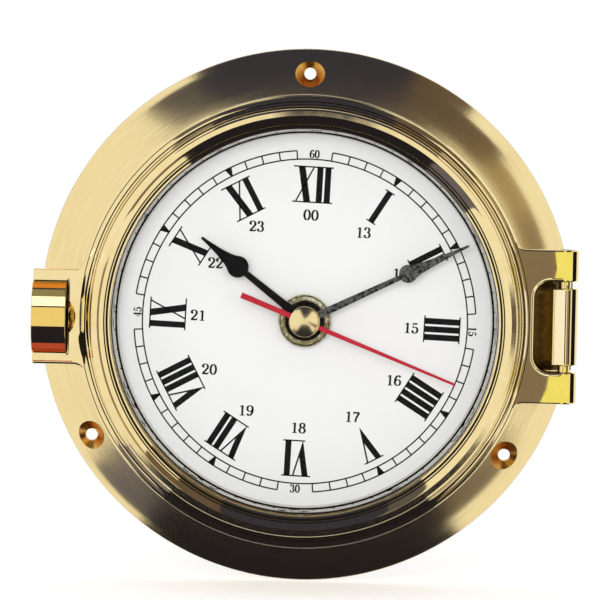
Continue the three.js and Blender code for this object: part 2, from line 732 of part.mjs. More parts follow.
const hourHand = hand(spadePlan(HOUR_HAND), hourHandFoot, HOUR_TUBE_RADIUS, HOUR_HAND.angle);
const minuteHand = hand(spadePlan(MINUTE_HAND), minuteHandFoot, MINUTE_TUBE_RADIUS, MINUTE_HAND.angle);
const secondHand = hand(secondPlan(SECOND_HAND), secondHandFoot, SECONDS_ARBOR_RADIUS, SECOND_HAND.angle);
piece("hour_hand", hourHand, BLACK_PAINT);
piece("minute_hand", minuteHand, BLACK_PAINT);
piece("second_hand", secondHand, RED_PAINT);
piece("second_hand_cap", secondHandCap(), POLISHED_BRASS);

// Wheel train

/** The distance between two arbors whose gears mesh. */
function meshDistance(module, teeth, otherTeeth) {
  return (module * (teeth + otherTeeth)) / 2;
}

const thirdDistance = meshDistance(THIRD_MODULE, TEETH.secondsPinion, TEETH.thirdWheel);
const centreModule = (2 * thirdDistance) / (TEETH.thirdPinion + TEETH.centreWheel);
const motionDistance = meshDistance(MOTION_MODULE, TEETH.cannon, TEETH.motionWheel);
const hourModule = (2 * motionDistance) / (TEETH.motionPinion + TEETH.hourWheel);
const intermediateDistance = meshDistance(SECONDS_MODULE, TEETH.intermediatePinion, TEETH.secondsWheel);
const rotorDistance = meshDistance(ROTOR_MODULE, TEETH.rotor, TEETH.intermediateWheel);
const alarmDistance = meshDistance(MOTION_MODULE, TEETH.alarmPinion, TEETH.alarmWheel);
const thirdPlace = polar(thirdDistance, THIRD_ANGLE);
const intermediatePlace = polar(intermediateDistance, INTERMEDIATE_ANGLE);
const rotorPlace = polar(rotorDistance, ROTOR_ANGLE, intermediatePlace);
const motionPlace = polar(motionDistance, MOTION_ANGLE);
const alarmPlace = polar(alarmDistance, ALARM_ANGLE);

/** The middle height of one of the stacked gear planes, counted from the front wall. */
function plane(number) {
  return housingFloor - FIRST_PLANE_DROP - number * PLANE_PITCH;
}

/** A wheel with pointed teeth, one of them towards an angle in degrees. */
function wheel(teeth, module, number, degrees) {
  const pitchRadius = (module * teeth) / 2;
  const step = 360 / teeth;
  const plan = new THREE.Shape();
  for (let i = 0; i < teeth; i += 1) {
    const tip = polar(pitchRadius + ADDENDUM * module, degrees + i * step);
    if (i) plan.lineTo(...tip);
    else plan.moveTo(...tip);
    plan.lineTo(...polar(pitchRadius - TOOTH_DEPTH * module, degrees + (i + 0.5) * step));
  }
  return prism(plan, plane(number) - WHEEL_THICKNESS / 2, plane(number) + WHEEL_THICKNESS / 2);
}

/** A pinion with flat-topped leaves and a gap towards an angle in degrees. */
function pinion(leaves, module, number, degrees) {
  const pitchRadius = (module * leaves) / 2;
  const step = 360 / leaves;
  const rootHalf = (step * LEAF_ROOT_SHARE) / 2;
  const tipHalf = (step * LEAF_TIP_SHARE) / 2;
  const plan = new THREE.Shape();
  for (let i = 0; i < leaves; i += 1) {
    const middle = degrees + (i + 0.5) * step;
    const points = [
      polar(pitchRadius - LEAF_DEPTH * module, middle - rootHalf),
      polar(pitchRadius + ADDENDUM * module, middle - tipHalf),
      polar(pitchRadius + ADDENDUM * module, middle + tipHalf),
      polar(pitchRadius - LEAF_DEPTH * module, middle + rootHalf),
    ];
    points.forEach(([x, y], k) => (i + k ? plan.lineTo(x, y) : plan.moveTo(x, y)));
  }
  return prism(plan, plane(number) - PINION_LENGTH / 2, plane(number) + PINION_LENGTH / 2);
}

/** Moves a gear from the centre to its arbor. */
function on(place, geometry) {
  return geometry.translate(place[0], place[1], 0);
}

/** A tube about the centre, between two heights. */
function tube(radius, bore, low, high) {
  return turned([[bore, low], [radius, low], [radius, high], [bore, high]], ROUND_SIDES);
}

/** An arbor that runs from the rear cover to the front wall. */
function arbor(place, radius = ARBOR_RADIUS) {
  return bar(radius, coverTop, housingFloor, place);
}

const magnetTop = plane(GEAR_PLANES.rotor) - PINION_LENGTH / 2;
const magnetFoot = magnetTop - MAGNET_HEIGHT;

function rotor() {
  const magnet = bar(MAGNET_RADIUS, magnetFoot, magnetTop, rotorPlace, ROUND_SIDES);
  const leaves = pinion(TEETH.rotor, ROTOR_MODULE, GEAR_PLANES.rotor, ROTOR_ANGLE + 180);
  return join(arbor(rotorPlace), magnet, on(rotorPlace, leaves));
}

function intermediateWheel() {
  const teeth = wheel(TEETH.intermediateWheel, ROTOR_MODULE, GEAR_PLANES.rotor, ROTOR_ANGLE);
  const gapTowardsCentre = INTERMEDIATE_ANGLE + 180;
  const leaves = pinion(TEETH.intermediatePinion, SECONDS_MODULE, GEAR_PLANES.seconds, gapTowardsCentre);
  return join(arbor(intermediatePlace), on(intermediatePlace, teeth), on(intermediatePlace, leaves));
}

function secondsWheel() {
  const shaft = bar(SECONDS_ARBOR_RADIUS, coverTop, secondsArborTop, [0, 0], ROUND_SIDES);
  const teeth = wheel(TEETH.secondsWheel, SECONDS_MODULE, GEAR_PLANES.seconds, INTERMEDIATE_ANGLE);
  const leaves = pinion(TEETH.secondsPinion, THIRD_MODULE, GEAR_PLANES.third, THIRD_ANGLE);
  return join(shaft, teeth, leaves);
}

function thirdWheel() {
  const teeth = wheel(TEETH.thirdWheel, THIRD_MODULE, GEAR_PLANES.third, THIRD_ANGLE + 180);
  const leaves = pinion(TEETH.thirdPinion, centreModule, GEAR_PLANES.centre, THIRD_ANGLE + 180);
  return join(arbor(thirdPlace), on(thirdPlace, teeth), on(thirdPlace, leaves));
}

function centreWheel() {
  const foot = plane(GEAR_PLANES.centre) - WHEEL_THICKNESS / 2;
  const bore = bar(MINUTE_TUBE_BORE, foot - OVERSHOOT, minuteTubeTop + OVERSHOOT, [0, 0], ROUND_SIDES);
  const pipe = bar(MINUTE_TUBE_RADIUS, foot, minuteTubeTop, [0, 0], ROUND_SIDES);
  const teeth = wheel(TEETH.centreWheel, centreModule, GEAR_PLANES.centre, THIRD_ANGLE);
  const cannon = pinion(TEETH.cannon, MOTION_MODULE, GEAR_PLANES.motion, MOTION_ANGLE);
  return cut(join(pipe, teeth, cannon), bore);
}

function motionWheel() {
  const shaftFoot = coverFoot - SEAT_GAP - SETTING_KNOB_HEIGHT + SETTING_KNOB_ROOF + SEAT_GAP;
  const shaft = bar(SETTING_ARBOR_RADIUS, shaftFoot, housingFloor, motionPlace);
  const teeth = wheel(TEETH.motionWheel, MOTION_MODULE, GEAR_PLANES.motion, MOTION_ANGLE + 180);
  const leaves = pinion(TEETH.motionPinion, hourModule, GEAR_PLANES.hour, MOTION_ANGLE + 180);
  return join(shaft, on(motionPlace, teeth), on(motionPlace, leaves));
}

function hourWheel() {
  const foot = plane(GEAR_PLANES.hour) - WHEEL_THICKNESS / 2;
  const bore = bar(HOUR_TUBE_BORE, foot - OVERSHOOT, hourTubeTop + OVERSHOOT, [0, 0], ROUND_SIDES);
  const pipe = bar(HOUR_TUBE_RADIUS, foot, hourTubeTop, [0, 0], ROUND_SIDES);
  const teeth = wheel(TEETH.hourWheel, hourModule, GEAR_PLANES.hour, MOTION_ANGLE);
  return cut(join(pipe, teeth), bore);
}

function alarmWheel() {
  const bore = bar(HOUR_TUBE_RADIUS + SHAFT_FIT, plane(GEAR_PLANES.hour), housingFront, [0, 0], ROUND_SIDES);
  return cut(wheel(TEETH.alarmWheel, MOTION_MODULE, GEAR_PLANES.alarm, ALARM_ANGLE), bore);
}

/** A fluted knob behind the rear cover. */
function settingKnob(place) {
  const top = coverFoot - SEAT_GAP;
  const plan = new THREE.Shape();
  const step = 360 / SETTING_KNOB_FLUTES;
  for (let i = 0; i < SETTING_KNOB_FLUTES; i += 1) {
    const crest = polar(SETTING_KNOB_RADIUS, i * step);
    const hollow = polar(SETTING_KNOB_RADIUS - SEAT_GAP, (i + 0.5) * step);
    if (i) plan.lineTo(...crest);
    else plan.moveTo(...crest);
    plan.lineTo(...hollow);
  }
  return on(place, prism(plan, top - SETTING_KNOB_HEIGHT, top));
}

function timeSetKnob() {
  const foot = coverFoot - SEAT_GAP - SETTING_KNOB_HEIGHT + SETTING_KNOB_ROOF;
  return cut(settingKnob(motionPlace), bar(SETTING_ARBOR_RADIUS + RUNNING_FIT, foot, coverTop, motionPlace));
}

function alarmSetKnob() {
  const shaft = bar(SETTING_ARBOR_RADIUS, coverFoot - SETTING_KNOB_HEIGHT, housingFloor, alarmPlace);
  const leaves = pinion(TEETH.alarmPinion, MOTION_MODULE, GEAR_PLANES.alarm, ALARM_ANGLE + 180);
  return join(settingKnob(alarmPlace), shaft, on(alarmPlace, leaves));
}

piece("rotor", rotor(), STEEL);
piece("intermediate_wheel", intermediateWheel(), IVORY_PLASTIC);
piece("seconds_wheel", secondsWheel(), STEEL);
piece("third_wheel", thirdWheel(), IVORY_PLASTIC);
piece("centre_wheel", centreWheel(), PLAIN_BRASS);
piece("motion_wheel", motionWheel(), IVORY_PLASTIC);
piece("hour_wheel", hourWheel(), PLAIN_BRASS);
piece("alarm_wheel", alarmWheel(), IVORY_PLASTIC);
piece("time_set_knob", timeSetKnob(), BLACK_PLASTIC);
piece("alarm_set_knob", alarmSetKnob(), BLACK_PLASTIC);

// Movement housing and fixed parts

const partitionTop = -TRAIN_ROOM;
const bayTop = partitionTop - PARTITION_WALL;
const batteryY = bayTop - BATTERY_CLEARANCE - BATTERY_RADIUS;
const bayBottom = batteryY - BATTERY_RADIUS - BATTERY_CLEARANCE;
const batteryHeight = housingFloor - BATTERY_CLEARANCE - BATTERY_RADIUS;
const batteryHalf = housingInnerHalf - BATTERY_END_ROOM - CONTACT_THICKNESS - SEAT_GAP;
const housingPlan = roundedRectangle(housingHalf, bayBottom - HOUSING_WALL, housingHalf, HOUSING_CORNER);
const boardCentre = [
  BOARD_WALL_GAP + BOARD_WIDTH / 2 - housingInnerHalf,
  housingInnerHalf - BOARD_WALL_GAP - BOARD_LENGTH / 2,
];
const switchCentre = [housingInnerHalf - SWITCH_WALL_GAP - SWITCH_WIDTH / 2, SWITCH_RISE];
const buzzerCentre = [BUZZER_WALL_GAP + BUZZER_RADIUS - housingInnerHalf, BUZZER_RISE];
const boardTop = housingFloor - BOARD_POST_LENGTH - SEAT_GAP;
const boardFoot = boardTop - BOARD_THICKNESS;

/** A blind bearing hole for an arbor's end, between two heights. */
function bearingHole(place, radius, low, high) {
  return bar(radius + RUNNING_FIT, low, high, place);
}

/** The two posts that carry the circuit board. */
function boardPosts() {
  const inset = BOARD_WIDTH / 2 - BOARD_POST_RADIUS;
  const sides = [-inset, inset];
  return sides.map((shift) => {
    const place = [boardCentre[0] + shift, boardCentre[1]];
    return bar(BOARD_POST_RADIUS, boardTop + SEAT_GAP, housingFront - FRONT_WALL / 2, place);
  });
}

function frontHousing() {
  const outer = prism(housingPlan, housingRear, housingFront);
  const hollowPlan = roundedRectangle(housingInnerHalf, bayBottom, housingInnerHalf, HOLLOW_CORNER);
  const hollow = prism(hollowPlan, housingRear - OVERSHOOT, housingFloor);
  const partition = block(
    [-housingInnerHalf - HOUSING_WALL / 2, bayTop],
    [housingInnerHalf + HOUSING_WALL / 2, partitionTop],
    housingRear,
    housingFloor + FRONT_WALL / 2,
  );
  const thinArbors = [thirdPlace, intermediatePlace, rotorPlace];
  const settingArbors = [motionPlace, alarmPlace];
  const bearings = [...thinArbors, ...settingArbors].map((place) =>
    bar(BEARING_RADIUS, housingFloor - FRONT_BEARING_HEIGHT, housingFloor + FRONT_WALL / 2, place),
  );
  const sunk = housingFloor + BEARING_SINK;
  const holes = [
    ...thinArbors.map((place) => bearingHole(place, ARBOR_RADIUS, housingFloor - OVERSHOOT, sunk)),
    ...settingArbors.map((place) => bearingHole(place, SETTING_ARBOR_RADIUS, housingFloor - OVERSHOOT, sunk)),
    bar(BUSH_RADIUS + SHAFT_FIT, housingFloor - OVERSHOOT, housingFront + OVERSHOOT, [0, 0], ROUND_SIDES),
  ];
  return cut(join(cut(outer, hollow), partition, ...bearings, ...boardPosts()), ...holes);
}

function rearCover() {
  const plate = prism(housingPlan, coverFoot, coverTop);
  const bayCorners = [[-housingInnerHalf, bayBottom], [housingInnerHalf, bayTop]];
  const bay = block(...bayCorners, coverFoot - OVERSHOOT, coverTop + OVERSHOOT);
  const rearArbors = [
    [[0, 0], SECONDS_ARBOR_RADIUS],
    [thirdPlace, ARBOR_RADIUS],
    [intermediatePlace, ARBOR_RADIUS],
    [rotorPlace, ARBOR_RADIUS],
  ];
  const sunk = coverTop - BEARING_SINK;
  const bearingTop = coverTop + REAR_BEARING_HEIGHT;
  const middle = (coverFoot + coverTop) / 2;
  const bearings = rearArbors.map(([place]) => bar(BEARING_RADIUS, middle, bearingTop, place));
  const slotCentre = [switchCentre[0], switchCentre[1] + SWITCH_TRAVEL / 2];
  const slotSize = [SWITCH_STEM_WIDTH + SEAT_GAP * 2, SWITCH_STEM_LENGTH + SWITCH_TRAVEL + SEAT_GAP * 2];
  const holes = [
    ...rearArbors.map(([place, radius]) => bearingHole(place, radius, sunk, bearingTop + OVERSHOOT)),
    ...[motionPlace, alarmPlace].map((place) =>
      bearingHole(place, SETTING_ARBOR_RADIUS, coverFoot - OVERSHOOT, coverTop + OVERSHOOT),
    ),
    centredBlock(slotSize, slotCentre, coverFoot - OVERSHOOT, coverTop + OVERSHOOT),
  ];
  return cut(join(cut(plate, bay), ...bearings), ...holes);
}

function handNut() {
  const ring = tube(NUT_RADIUS, BUSH_RADIUS + SHAFT_FIT, nutFoot, nutTop);
  const width = NUT_RADIUS * 2 + OVERSHOOT;
  const notch = centredBlock([width, NUT_NOTCH], [0, 0], nutTop - NUT_HEIGHT / 2, nutTop + OVERSHOOT);
  return cut(ring, notch);
}

const statorTop = magnetTop;
const statorFoot = statorTop - STATOR_THICKNESS;
const statorLow = rotorPlace[1] - MAGNET_RADIUS - STATOR_GAP - STATOR_BRIDGE;
const statorHigh = statorLow + STATOR_HEIGHT;
const statorLeft = rotorPlace[0] - STATOR_WIDTH / 2;
const statorRight = rotorPlace[0] + STATOR_WIDTH / 2;
const coilY = statorHigh - CORE_WIDTH;
const coilHeight = statorTop + SEAT_GAP + CORE_THICKNESS;

function stator() {
  const plate = block([statorLeft, statorLow], [statorRight, statorHigh], statorFoot, statorTop);
  const eyeRadius = MAGNET_RADIUS + STATOR_GAP;
  const eye = bar(eyeRadius, statorFoot - OVERSHOOT, statorTop + OVERSHOOT, rotorPlace, ROUND_SIDES);
  const gapLow = coilY - BOBBIN_RADIUS - COIL_SIDE_GAP;
  const gap = block(
    [statorLeft + STATOR_ARM, gapLow],
    [statorRight - STATOR_ARM, statorHigh + OVERSHOOT],
    statorFoot - OVERSHOOT,
    statorTop + OVERSHOOT,
  );
  return cut(plate, eye, gap);
}

function stepperCoil() {
  const half = STATOR_WIDTH / 2 - STATOR_ARM - COIL_SIDE_GAP;
  const inner = half - BOBBIN_FLANGE;
  const outline = [
    [0, -half],
    [BOBBIN_RADIUS, -half],
    [BOBBIN_RADIUS, -inner],
    [COIL_RADIUS, -inner],
    [COIL_RADIUS, inner],
    [BOBBIN_RADIUS, inner],
    [BOBBIN_RADIUS, half],
    [0, half],
  ];
  const bobbin = spun(outline, ROUND_SIDES).rotateZ(Math.PI / 2).translate(rotorPlace[0], coilY, coilHeight);
  const coreFoot = statorTop + SEAT_GAP;
  const coreSize = [STATOR_WIDTH, CORE_WIDTH];
  const core = centredBlock(coreSize, [rotorPlace[0], coilY], coreFoot, coreFoot + CORE_THICKNESS);
  return join(bobbin, core);
}

function battery() {
  const shoulder = batteryHalf - BATTERY_NUB_LENGTH;
  const outline = [
    [0, -batteryHalf],
    [BATTERY_RADIUS, -batteryHalf],
    [BATTERY_RADIUS, shoulder],
    [BATTERY_NUB_RADIUS, shoulder],
    [BATTERY_NUB_RADIUS, batteryHalf],
    [0, batteryHalf],
  ];
  return spun(outline, ROUND_SIDES).rotateZ(-Math.PI / 2).translate(0, batteryY, batteryHeight);
}

/** A flat spring contact at one end of the battery, on the side of a sign. */
function batteryContact(side) {
  const near = batteryHalf + SEAT_GAP;
  const size = [CONTACT_THICKNESS, CONTACT_WIDTH];
  const centre = [side * (near + CONTACT_THICKNESS / 2), batteryY];
  const half = CONTACT_WIDTH / 2;
  return centredBlock(size, centre, batteryHeight - half, batteryHeight + half);
}

function crystal() {
  const half = CRYSTAL_LENGTH / 2;
  const height = boardFoot - SEAT_GAP - CRYSTAL_RADIUS;
  const outline = [[0, -half], [CRYSTAL_RADIUS, -half], [CRYSTAL_RADIUS, half], [0, half]];
  return spun(outline, SHAFT_SIDES).rotateZ(Math.PI / 2).translate(...boardCentre, height);
}

function alarmSwitch() {
  const baseFoot = coverTop + SEAT_GAP;
  const tabTop = coverFoot - SEAT_GAP;
  const plan = [SWITCH_WIDTH, SWITCH_LENGTH];
  const stemPlan = [SWITCH_STEM_WIDTH, SWITCH_STEM_LENGTH];
  const base = centredBlock(plan, switchCentre, baseFoot, baseFoot + SWITCH_BASE_HEIGHT);
  const tabFoot = tabTop - SWITCH_TAB_HEIGHT;
  const stem = centredBlock(stemPlan, switchCentre, tabFoot, baseFoot + SWITCH_BASE_HEIGHT / 2);
  const tab = centredBlock(plan, switchCentre, tabFoot, tabTop);
  return join(base, stem, tab);
}

const bushBore = HOUR_TUBE_RADIUS + RUNNING_FIT;
const washerBore = BUSH_RADIUS + SHAFT_FIT;
const buzzerFoot = coverTop + SEAT_GAP;
const buzzer = bar(BUZZER_RADIUS, buzzerFoot, buzzerFoot + BUZZER_HEIGHT, buzzerCentre, ROUND_SIDES);
const board = centredBlock([BOARD_WIDTH, BOARD_LENGTH], boardCentre, boardFoot, boardTop);
piece("movement_front_housing", frontHousing(), BLACK_PLASTIC);
piece("movement_rear_cover", rearCover(), BLACK_PLASTIC);
piece("threaded_bush", tube(BUSH_RADIUS, bushBore, housingFront - BUSH_SINK, bushTop), PLAIN_BRASS);
piece("rubber_washer", tube(WASHER_RADIUS, washerBore, washerFoot, washerTop), BLACK_RUBBER);
piece("hand_nut", handNut(), PLAIN_BRASS);
piece("stator", stator(), STEEL);
piece("stepper_coil", stepperCoil(), COPPER);
piece("circuit_board", board, BOARD_GREEN);
piece("quartz_crystal", crystal(), STEEL);
piece("alarm_buzzer", buzzer, PLAIN_BRASS);
piece("alarm_switch", alarmSwitch(), IVORY_PLASTIC);
piece("battery", battery(), BATTERY_SLEEVE);
piece("battery_contact_positive", batteryContact(1), STEEL);
piece("battery_contact_negative", batteryContact(-1), STEEL);

// Stand the clock up: the face looks along -Y and the row's +Z is up
clock.rotation.x = Math.PI / 2;

export default clock;
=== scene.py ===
"""Looks of a brass bulkhead clock: turned case, moulded bezel, printed dial, hands, movement and studio.

Sizes are millimetres in the clock's face frame, x to the right, y up and z from the bulkhead to the reader.
Spindle.place turns them into the row's metres, where the face looks along -Y and +Z is up.
"""

import logging
import math
from collections.abc import Sequence
from dataclasses import dataclass
from enum import Enum
from functools import cache
from typing import ClassVar

import bmesh
import bpy
from mathutils import Matrix, Vector


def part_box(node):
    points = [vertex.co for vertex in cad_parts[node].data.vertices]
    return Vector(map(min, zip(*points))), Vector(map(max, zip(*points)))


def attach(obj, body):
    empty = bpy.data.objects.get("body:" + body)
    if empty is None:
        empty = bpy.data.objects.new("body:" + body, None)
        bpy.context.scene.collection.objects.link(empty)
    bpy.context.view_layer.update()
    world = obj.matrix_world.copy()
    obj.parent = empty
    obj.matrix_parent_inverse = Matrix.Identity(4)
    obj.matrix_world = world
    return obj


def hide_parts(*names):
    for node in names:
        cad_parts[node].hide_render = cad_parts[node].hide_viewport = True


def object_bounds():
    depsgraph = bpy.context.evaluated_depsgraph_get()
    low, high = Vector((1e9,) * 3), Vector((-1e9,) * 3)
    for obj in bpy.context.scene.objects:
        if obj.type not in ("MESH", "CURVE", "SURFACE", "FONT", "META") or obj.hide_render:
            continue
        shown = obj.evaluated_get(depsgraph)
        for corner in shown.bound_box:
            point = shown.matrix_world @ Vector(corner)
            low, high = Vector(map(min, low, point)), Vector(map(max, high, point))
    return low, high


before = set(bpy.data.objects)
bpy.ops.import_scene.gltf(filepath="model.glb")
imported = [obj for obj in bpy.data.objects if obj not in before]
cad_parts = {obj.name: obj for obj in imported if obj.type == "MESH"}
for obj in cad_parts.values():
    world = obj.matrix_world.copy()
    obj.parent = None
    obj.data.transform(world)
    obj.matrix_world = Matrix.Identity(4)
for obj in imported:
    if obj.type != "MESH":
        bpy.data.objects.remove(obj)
CAD_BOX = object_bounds()
Point = tuple[float, float]
Space = tuple[float, float, float]
Loop = list[Point]
Piece = bpy.types.Object
Shape = bmesh.types.BMesh
Ring = list[bmesh.types.BMVert]
Rim = list[bmesh.types.BMEdge]
Socket = bpy.types.NodeSocket
log = logging.getLogger("bulkhead_clock")
MM = 0.001
HINGE_POINT: Point = (57.2, 28.35)  # x and height of the hinge's line
LOCK_HEIGHT = 28.825  # height of the thumb screw's line
PIN_BORE = 1.43  # radius of the bore for the hinge pin
HOUR_TURN = 30  # degrees of the dial to an hour
MINUTE_TURN = 6  # degrees of the dial to a minute
WELD_GAP = 1e-8  # points of a mesh that are closer are one, in metres
LOOP_GAP = 1e-5  # points of a loop that are closer are one
NO_RADIUS = 1e-6  # a smaller radius is a point on the line
SHARPEST_MITRE = 0.3  # holds back the sharp corners of a moved loop


class Body(Enum):
    """The moving bodies that pieces ride on."""

    CASE = "case"
    BEZEL = "bezel"
    LOCK_TIP = "lock_tip"
    LOCK_KNOB = "lock_knob"
    SECONDS = "seconds"
    MINUTES = "minutes"
    HOURS = "hours"


class Join(Enum):
    """How a tool shape meets the piece it works on."""

    CUT = "DIFFERENCE"
    WELD = "UNION"


class Grain(Enum):
    """How the pattern of a finish lies on a piece."""

    EVEN = "even"
    ROUND = "round"


# Shapes


@dataclass(frozen=True)
class Spindle:
    """A line that a round piece is turned about, or that a flat one is stacked along."""

    origin: Space = (0.0, 0.0, 0.0)  # a point on the line, in the face frame
    along: Space = (0.0, 0.0, 1.0)  # unit direction of the line
    across: Space = (1.0, 0.0, 0.0)  # unit direction that angle zero looks along

    def place(self, u: float, v: float, height: float) -> Vector:
        """Place a point of the spindle's own frame in the row.

        Args:
            u: distance along the across direction.
            v: distance along the third direction.
            height: distance along the line.

        Returns:
            The point in the row's frame, in metres.
        """
        along = Vector(self.along)
        across = Vector(self.across)
        point = Vector(self.origin) + across * u + along.cross(across) * v + along * height
        return Vector((point.x, -point.z, point.y)) * MM


FACE = Spindle()
SIDE_LINE = Spindle((0.0, 0.0, 0.0), (0.0, -1.0, 0.0))
HINGE_LINE = Spindle((HINGE_POINT[0], 0.0, HINGE_POINT[1]), (0.0, 1.0, 0.0))
LOCK_LINE = Spindle((0.0, 0.0, LOCK_HEIGHT), (-1.0, 0.0, 0.0), (0.0, 1.0, 0.0))


def arc(centre: Point, radius: float, start: float, end: float, steps: int) -> Loop:
    """Points on an arc from one angle in degrees to another, with both ends, in a number of chords."""
    angles = [math.radians(start + (end - start) * i / steps) for i in range(steps + 1)]
    return [(centre[0] + radius * math.cos(a), centre[1] + radius * math.sin(a)) for a in angles]


def curve(start: Point, control: Point, end: Point, steps: int) -> Loop:
    """Points on a quadratic curve, with both ends.

    Args:
        start: first point.
        control: point that the ends look towards.
        end: last point.
        steps: number of chords.

    Returns:
        The points from start to end.
    """
    points = []
    for i in range(steps + 1):
        t = i / steps
        weights = ((1 - t) ** 2, 2 * t * (1 - t), t * t)
        corners = (start, control, end)
        points.append(tuple(sum(w * c[k] for w, c in zip(weights, corners)) for k in (0, 1)))
    return points


def polar(radius: float, degrees: float) -> Point:
    """The point at a radius and an angle counted from x towards y."""
    return radius * math.cos(math.radians(degrees)), radius * math.sin(math.radians(degrees))


def turned_loop(loop: Loop, degrees: float, centre: Point = (0.0, 0.0)) -> Loop:
    """A loop turned about the origin by degrees from x towards y, and then moved to a centre."""
    c, s = polar(1.0, degrees)
    return [(centre[0] + x * c - y * s, centre[1] + x * s + y * c) for x, y in loop]


def rounded_box(half_width: float, low: float, high: float, corner: float, steps: int = 6) -> Loop:
    """A rectangle with round corners, centred across.

    Args:
        half_width: half its width.
        low: its lower edge.
        high: its upper edge.
        corner: radius of the corners.
        steps: chords per corner.

    Returns:
        The outline, anticlockwise.
    """
    x = half_width - corner
    foot, top = low + corner, high - corner
    corners = [(x, foot, -90), (x, top, 0), (-x, top, 90), (-x, foot, 180)]
    return [p for cx, cy, start in corners for p in arc((cx, cy), corner, start, start + 90, steps)]


def circle(radius: float, sides: int = 48, centre: Point = (0.0, 0.0)) -> Loop:
    """A closed circle without a repeated point."""
    return arc(centre, radius, 0, 360, sides)[:-1]


def linked(name: str, bm: Shape) -> Piece:
    """Put a shape into the scene.

    Args:
        name: name of the object and its mesh.
        bm: the shape, which is freed.

    Returns:
        The object.
    """
    mesh = bpy.data.meshes.new(name)
    bm.to_mesh(mesh)
    bm.free()
    piece = bpy.data.objects.new(name, mesh)
    bpy.context.scene.collection.objects.link(piece)
    return piece


def object_of(name: str, bm: Shape) -> Piece:
    """A finished shape as an object of the scene, with its faces pointing out."""
    bmesh.ops.remove_doubles(bm, verts=bm.verts, dist=WELD_GAP)
    bmesh.ops.recalc_face_normals(bm, faces=bm.faces)
    return linked(name, bm)


def ring_of(bm: Shape, loop: Loop, height: float, spindle: Spindle = FACE) -> Ring:
    """The points of a loop at one height on a spindle."""
    return [bm.verts.new(spindle.place(*p, height)) for p in loop]


def walled(bm: Shape, rings: list[Ring]) -> tuple[Rim, Rim]:
    """Join closed rings with faces.

    Args:
        bm: shape to add to.
        rings: rings with the same number of points.

    Returns:
        The edges round the first ring and round the last.
    """
    count = len(rings[0])
    steps = [(i, (i + 1) % count) for i in range(count)]
    for lower, upper in zip(rings, rings[1:]):
        for i, j in steps:
            bm.faces.new((lower[i], lower[j], upper[j], upper[i]))
    near, far = ([bm.edges.get((ring[i], ring[j])) for i, j in steps] for ring in (rings[0], rings[-1]))
    return near, far


def bar(bm: Shape, rings: list[Ring]) -> None:
    """Join closed rings with faces and close both ends."""
    walled(bm, rings)
    bm.faces.new(rings[0])
    bm.faces.new(rings[-1])


def turned(name: str, profile: Loop, spindle: Spindle = FACE, sides: int = 192) -> Piece:
    """Turn a closed profile on a spindle.

    Args:
        name: name of the piece.
        profile: points of radius and height; a radius of zero stands on the line.
        spindle: the line that it turns about.
        sides: facets round the line.

    Returns:
        The turned piece.
    """
    bm = bmesh.new()
    rings = []
    for radius, height in profile:
        loop = [(0.0, 0.0)] if radius < NO_RADIUS else circle(radius, sides)
        rings.append(ring_of(bm, loop, height, spindle))
    for lower, upper in zip(rings, rings[1:] + rings[:1]):
        if len(lower) == 1 and len(upper) == 1:
            continue
        for i in range(sides):
            j = (i + 1) % sides
            if len(lower) == 1:
                bm.faces.new((lower[0], upper[j], upper[i]))
            elif len(upper) == 1:
                bm.faces.new((lower[i], lower[j], upper[0]))
            else:
                bm.faces.new((lower[i], lower[j], upper[j], upper[i]))
    return object_of(name, bm)


def band(name: str, radii: Point, heights: Point, spindle: Spindle = FACE, sides: int = 192) -> Piece:
    """A turned ring between two radii and two heights, or a rod where the inner radius is nought."""
    (inner, outer), (low, high) = radii, heights
    return turned(name, [(inner, low), (outer, low), (outer, high), (inner, high)], spindle, sides)


def disc(name: str, radius: float, heights: Point, bevel: float) -> Piece:
    """A turned disc on the face with bevelled edges.

    Args:
        name: name of the piece.
        radius: its radius.
        heights: height of the near and of the far face.
        bevel: width of the bevels.

    Returns:
        The disc.
    """
    foot, top = heights
    side = [(radius - bevel, foot), (radius, foot + bevel), (radius, top - bevel), (radius - bevel, top)]
    return turned(name, [(0.0, foot), *side, (0.0, top)])


def signed_area(loop: Loop) -> float:
    """Area of a loop, positive when it runs anticlockwise."""
    return sum(a[0] * b[1] - b[0] * a[1] for a, b in zip(loop, loop[1:] + loop[:1])) / 2


def thinned(loop: Loop) -> Loop:
    """A loop without points that repeat their neighbour."""
    return [p for p, q in zip(loop, loop[-1:] + loop[:-1]) if math.dist(p, q) > LOOP_GAP]


def mirrored_loop(upper: Loop) -> Loop:
    """A whole outline from its upper half."""
    return thinned(upper + [(x, -y) for x, y in reversed(upper)])


def shifted(loop: Loop, x: float, y: float) -> Loop:
    """A loop moved across and up."""
    return [(x + u, y + v) for u, v in loop]


def inset_loop(loop: Loop, inset: float) -> Loop:
    """A loop moved to its left by a distance, with mitred corners.

    Args:
        loop: closed loop with the material on its left.
        inset: distance into the material.

    Returns:
        The moved loop, point for point.
    """
    moved = []
    for before, here, after in zip(loop[-1:] + loop[:-1], loop, loop[1:] + loop[:1]):
        first = (Vector(here) - Vector(before)).normalized()
        second = (Vector(after) - Vector(here)).normalized()
        left = Vector((-first.y - second.y, first.x + second.x))
        left = left / max(SHARPEST_MITRE, 1 + first.dot(second))
        moved.append((here[0] + left.x * inset, here[1] + left.y * inset))
    return moved


@dataclass(frozen=True)
class Edges:
    """How the edges of a slab are rounded."""

    top: float = 0.0  # radius at the far edge
    foot: float = 0.0  # radius at the near edge
    steps: int = 4  # chords on each round

    def stations(self, low: float, high: float) -> list[Point]:
        """Insets and heights from the near face to the far one.

        Args:
            low: height of the near face.
            high: height of the far face.

        Returns:
            Pairs of inset and height.
        """
        pairs = [(0.0, low)]
        if self.foot:
            pairs = arc((self.foot, low + self.foot), self.foot, 270, 180, self.steps)
        if self.top:
            pairs += arc((self.top, high - self.top), self.top, 180, 90, self.steps)
        else:
            pairs.append((0.0, high))
        return pairs


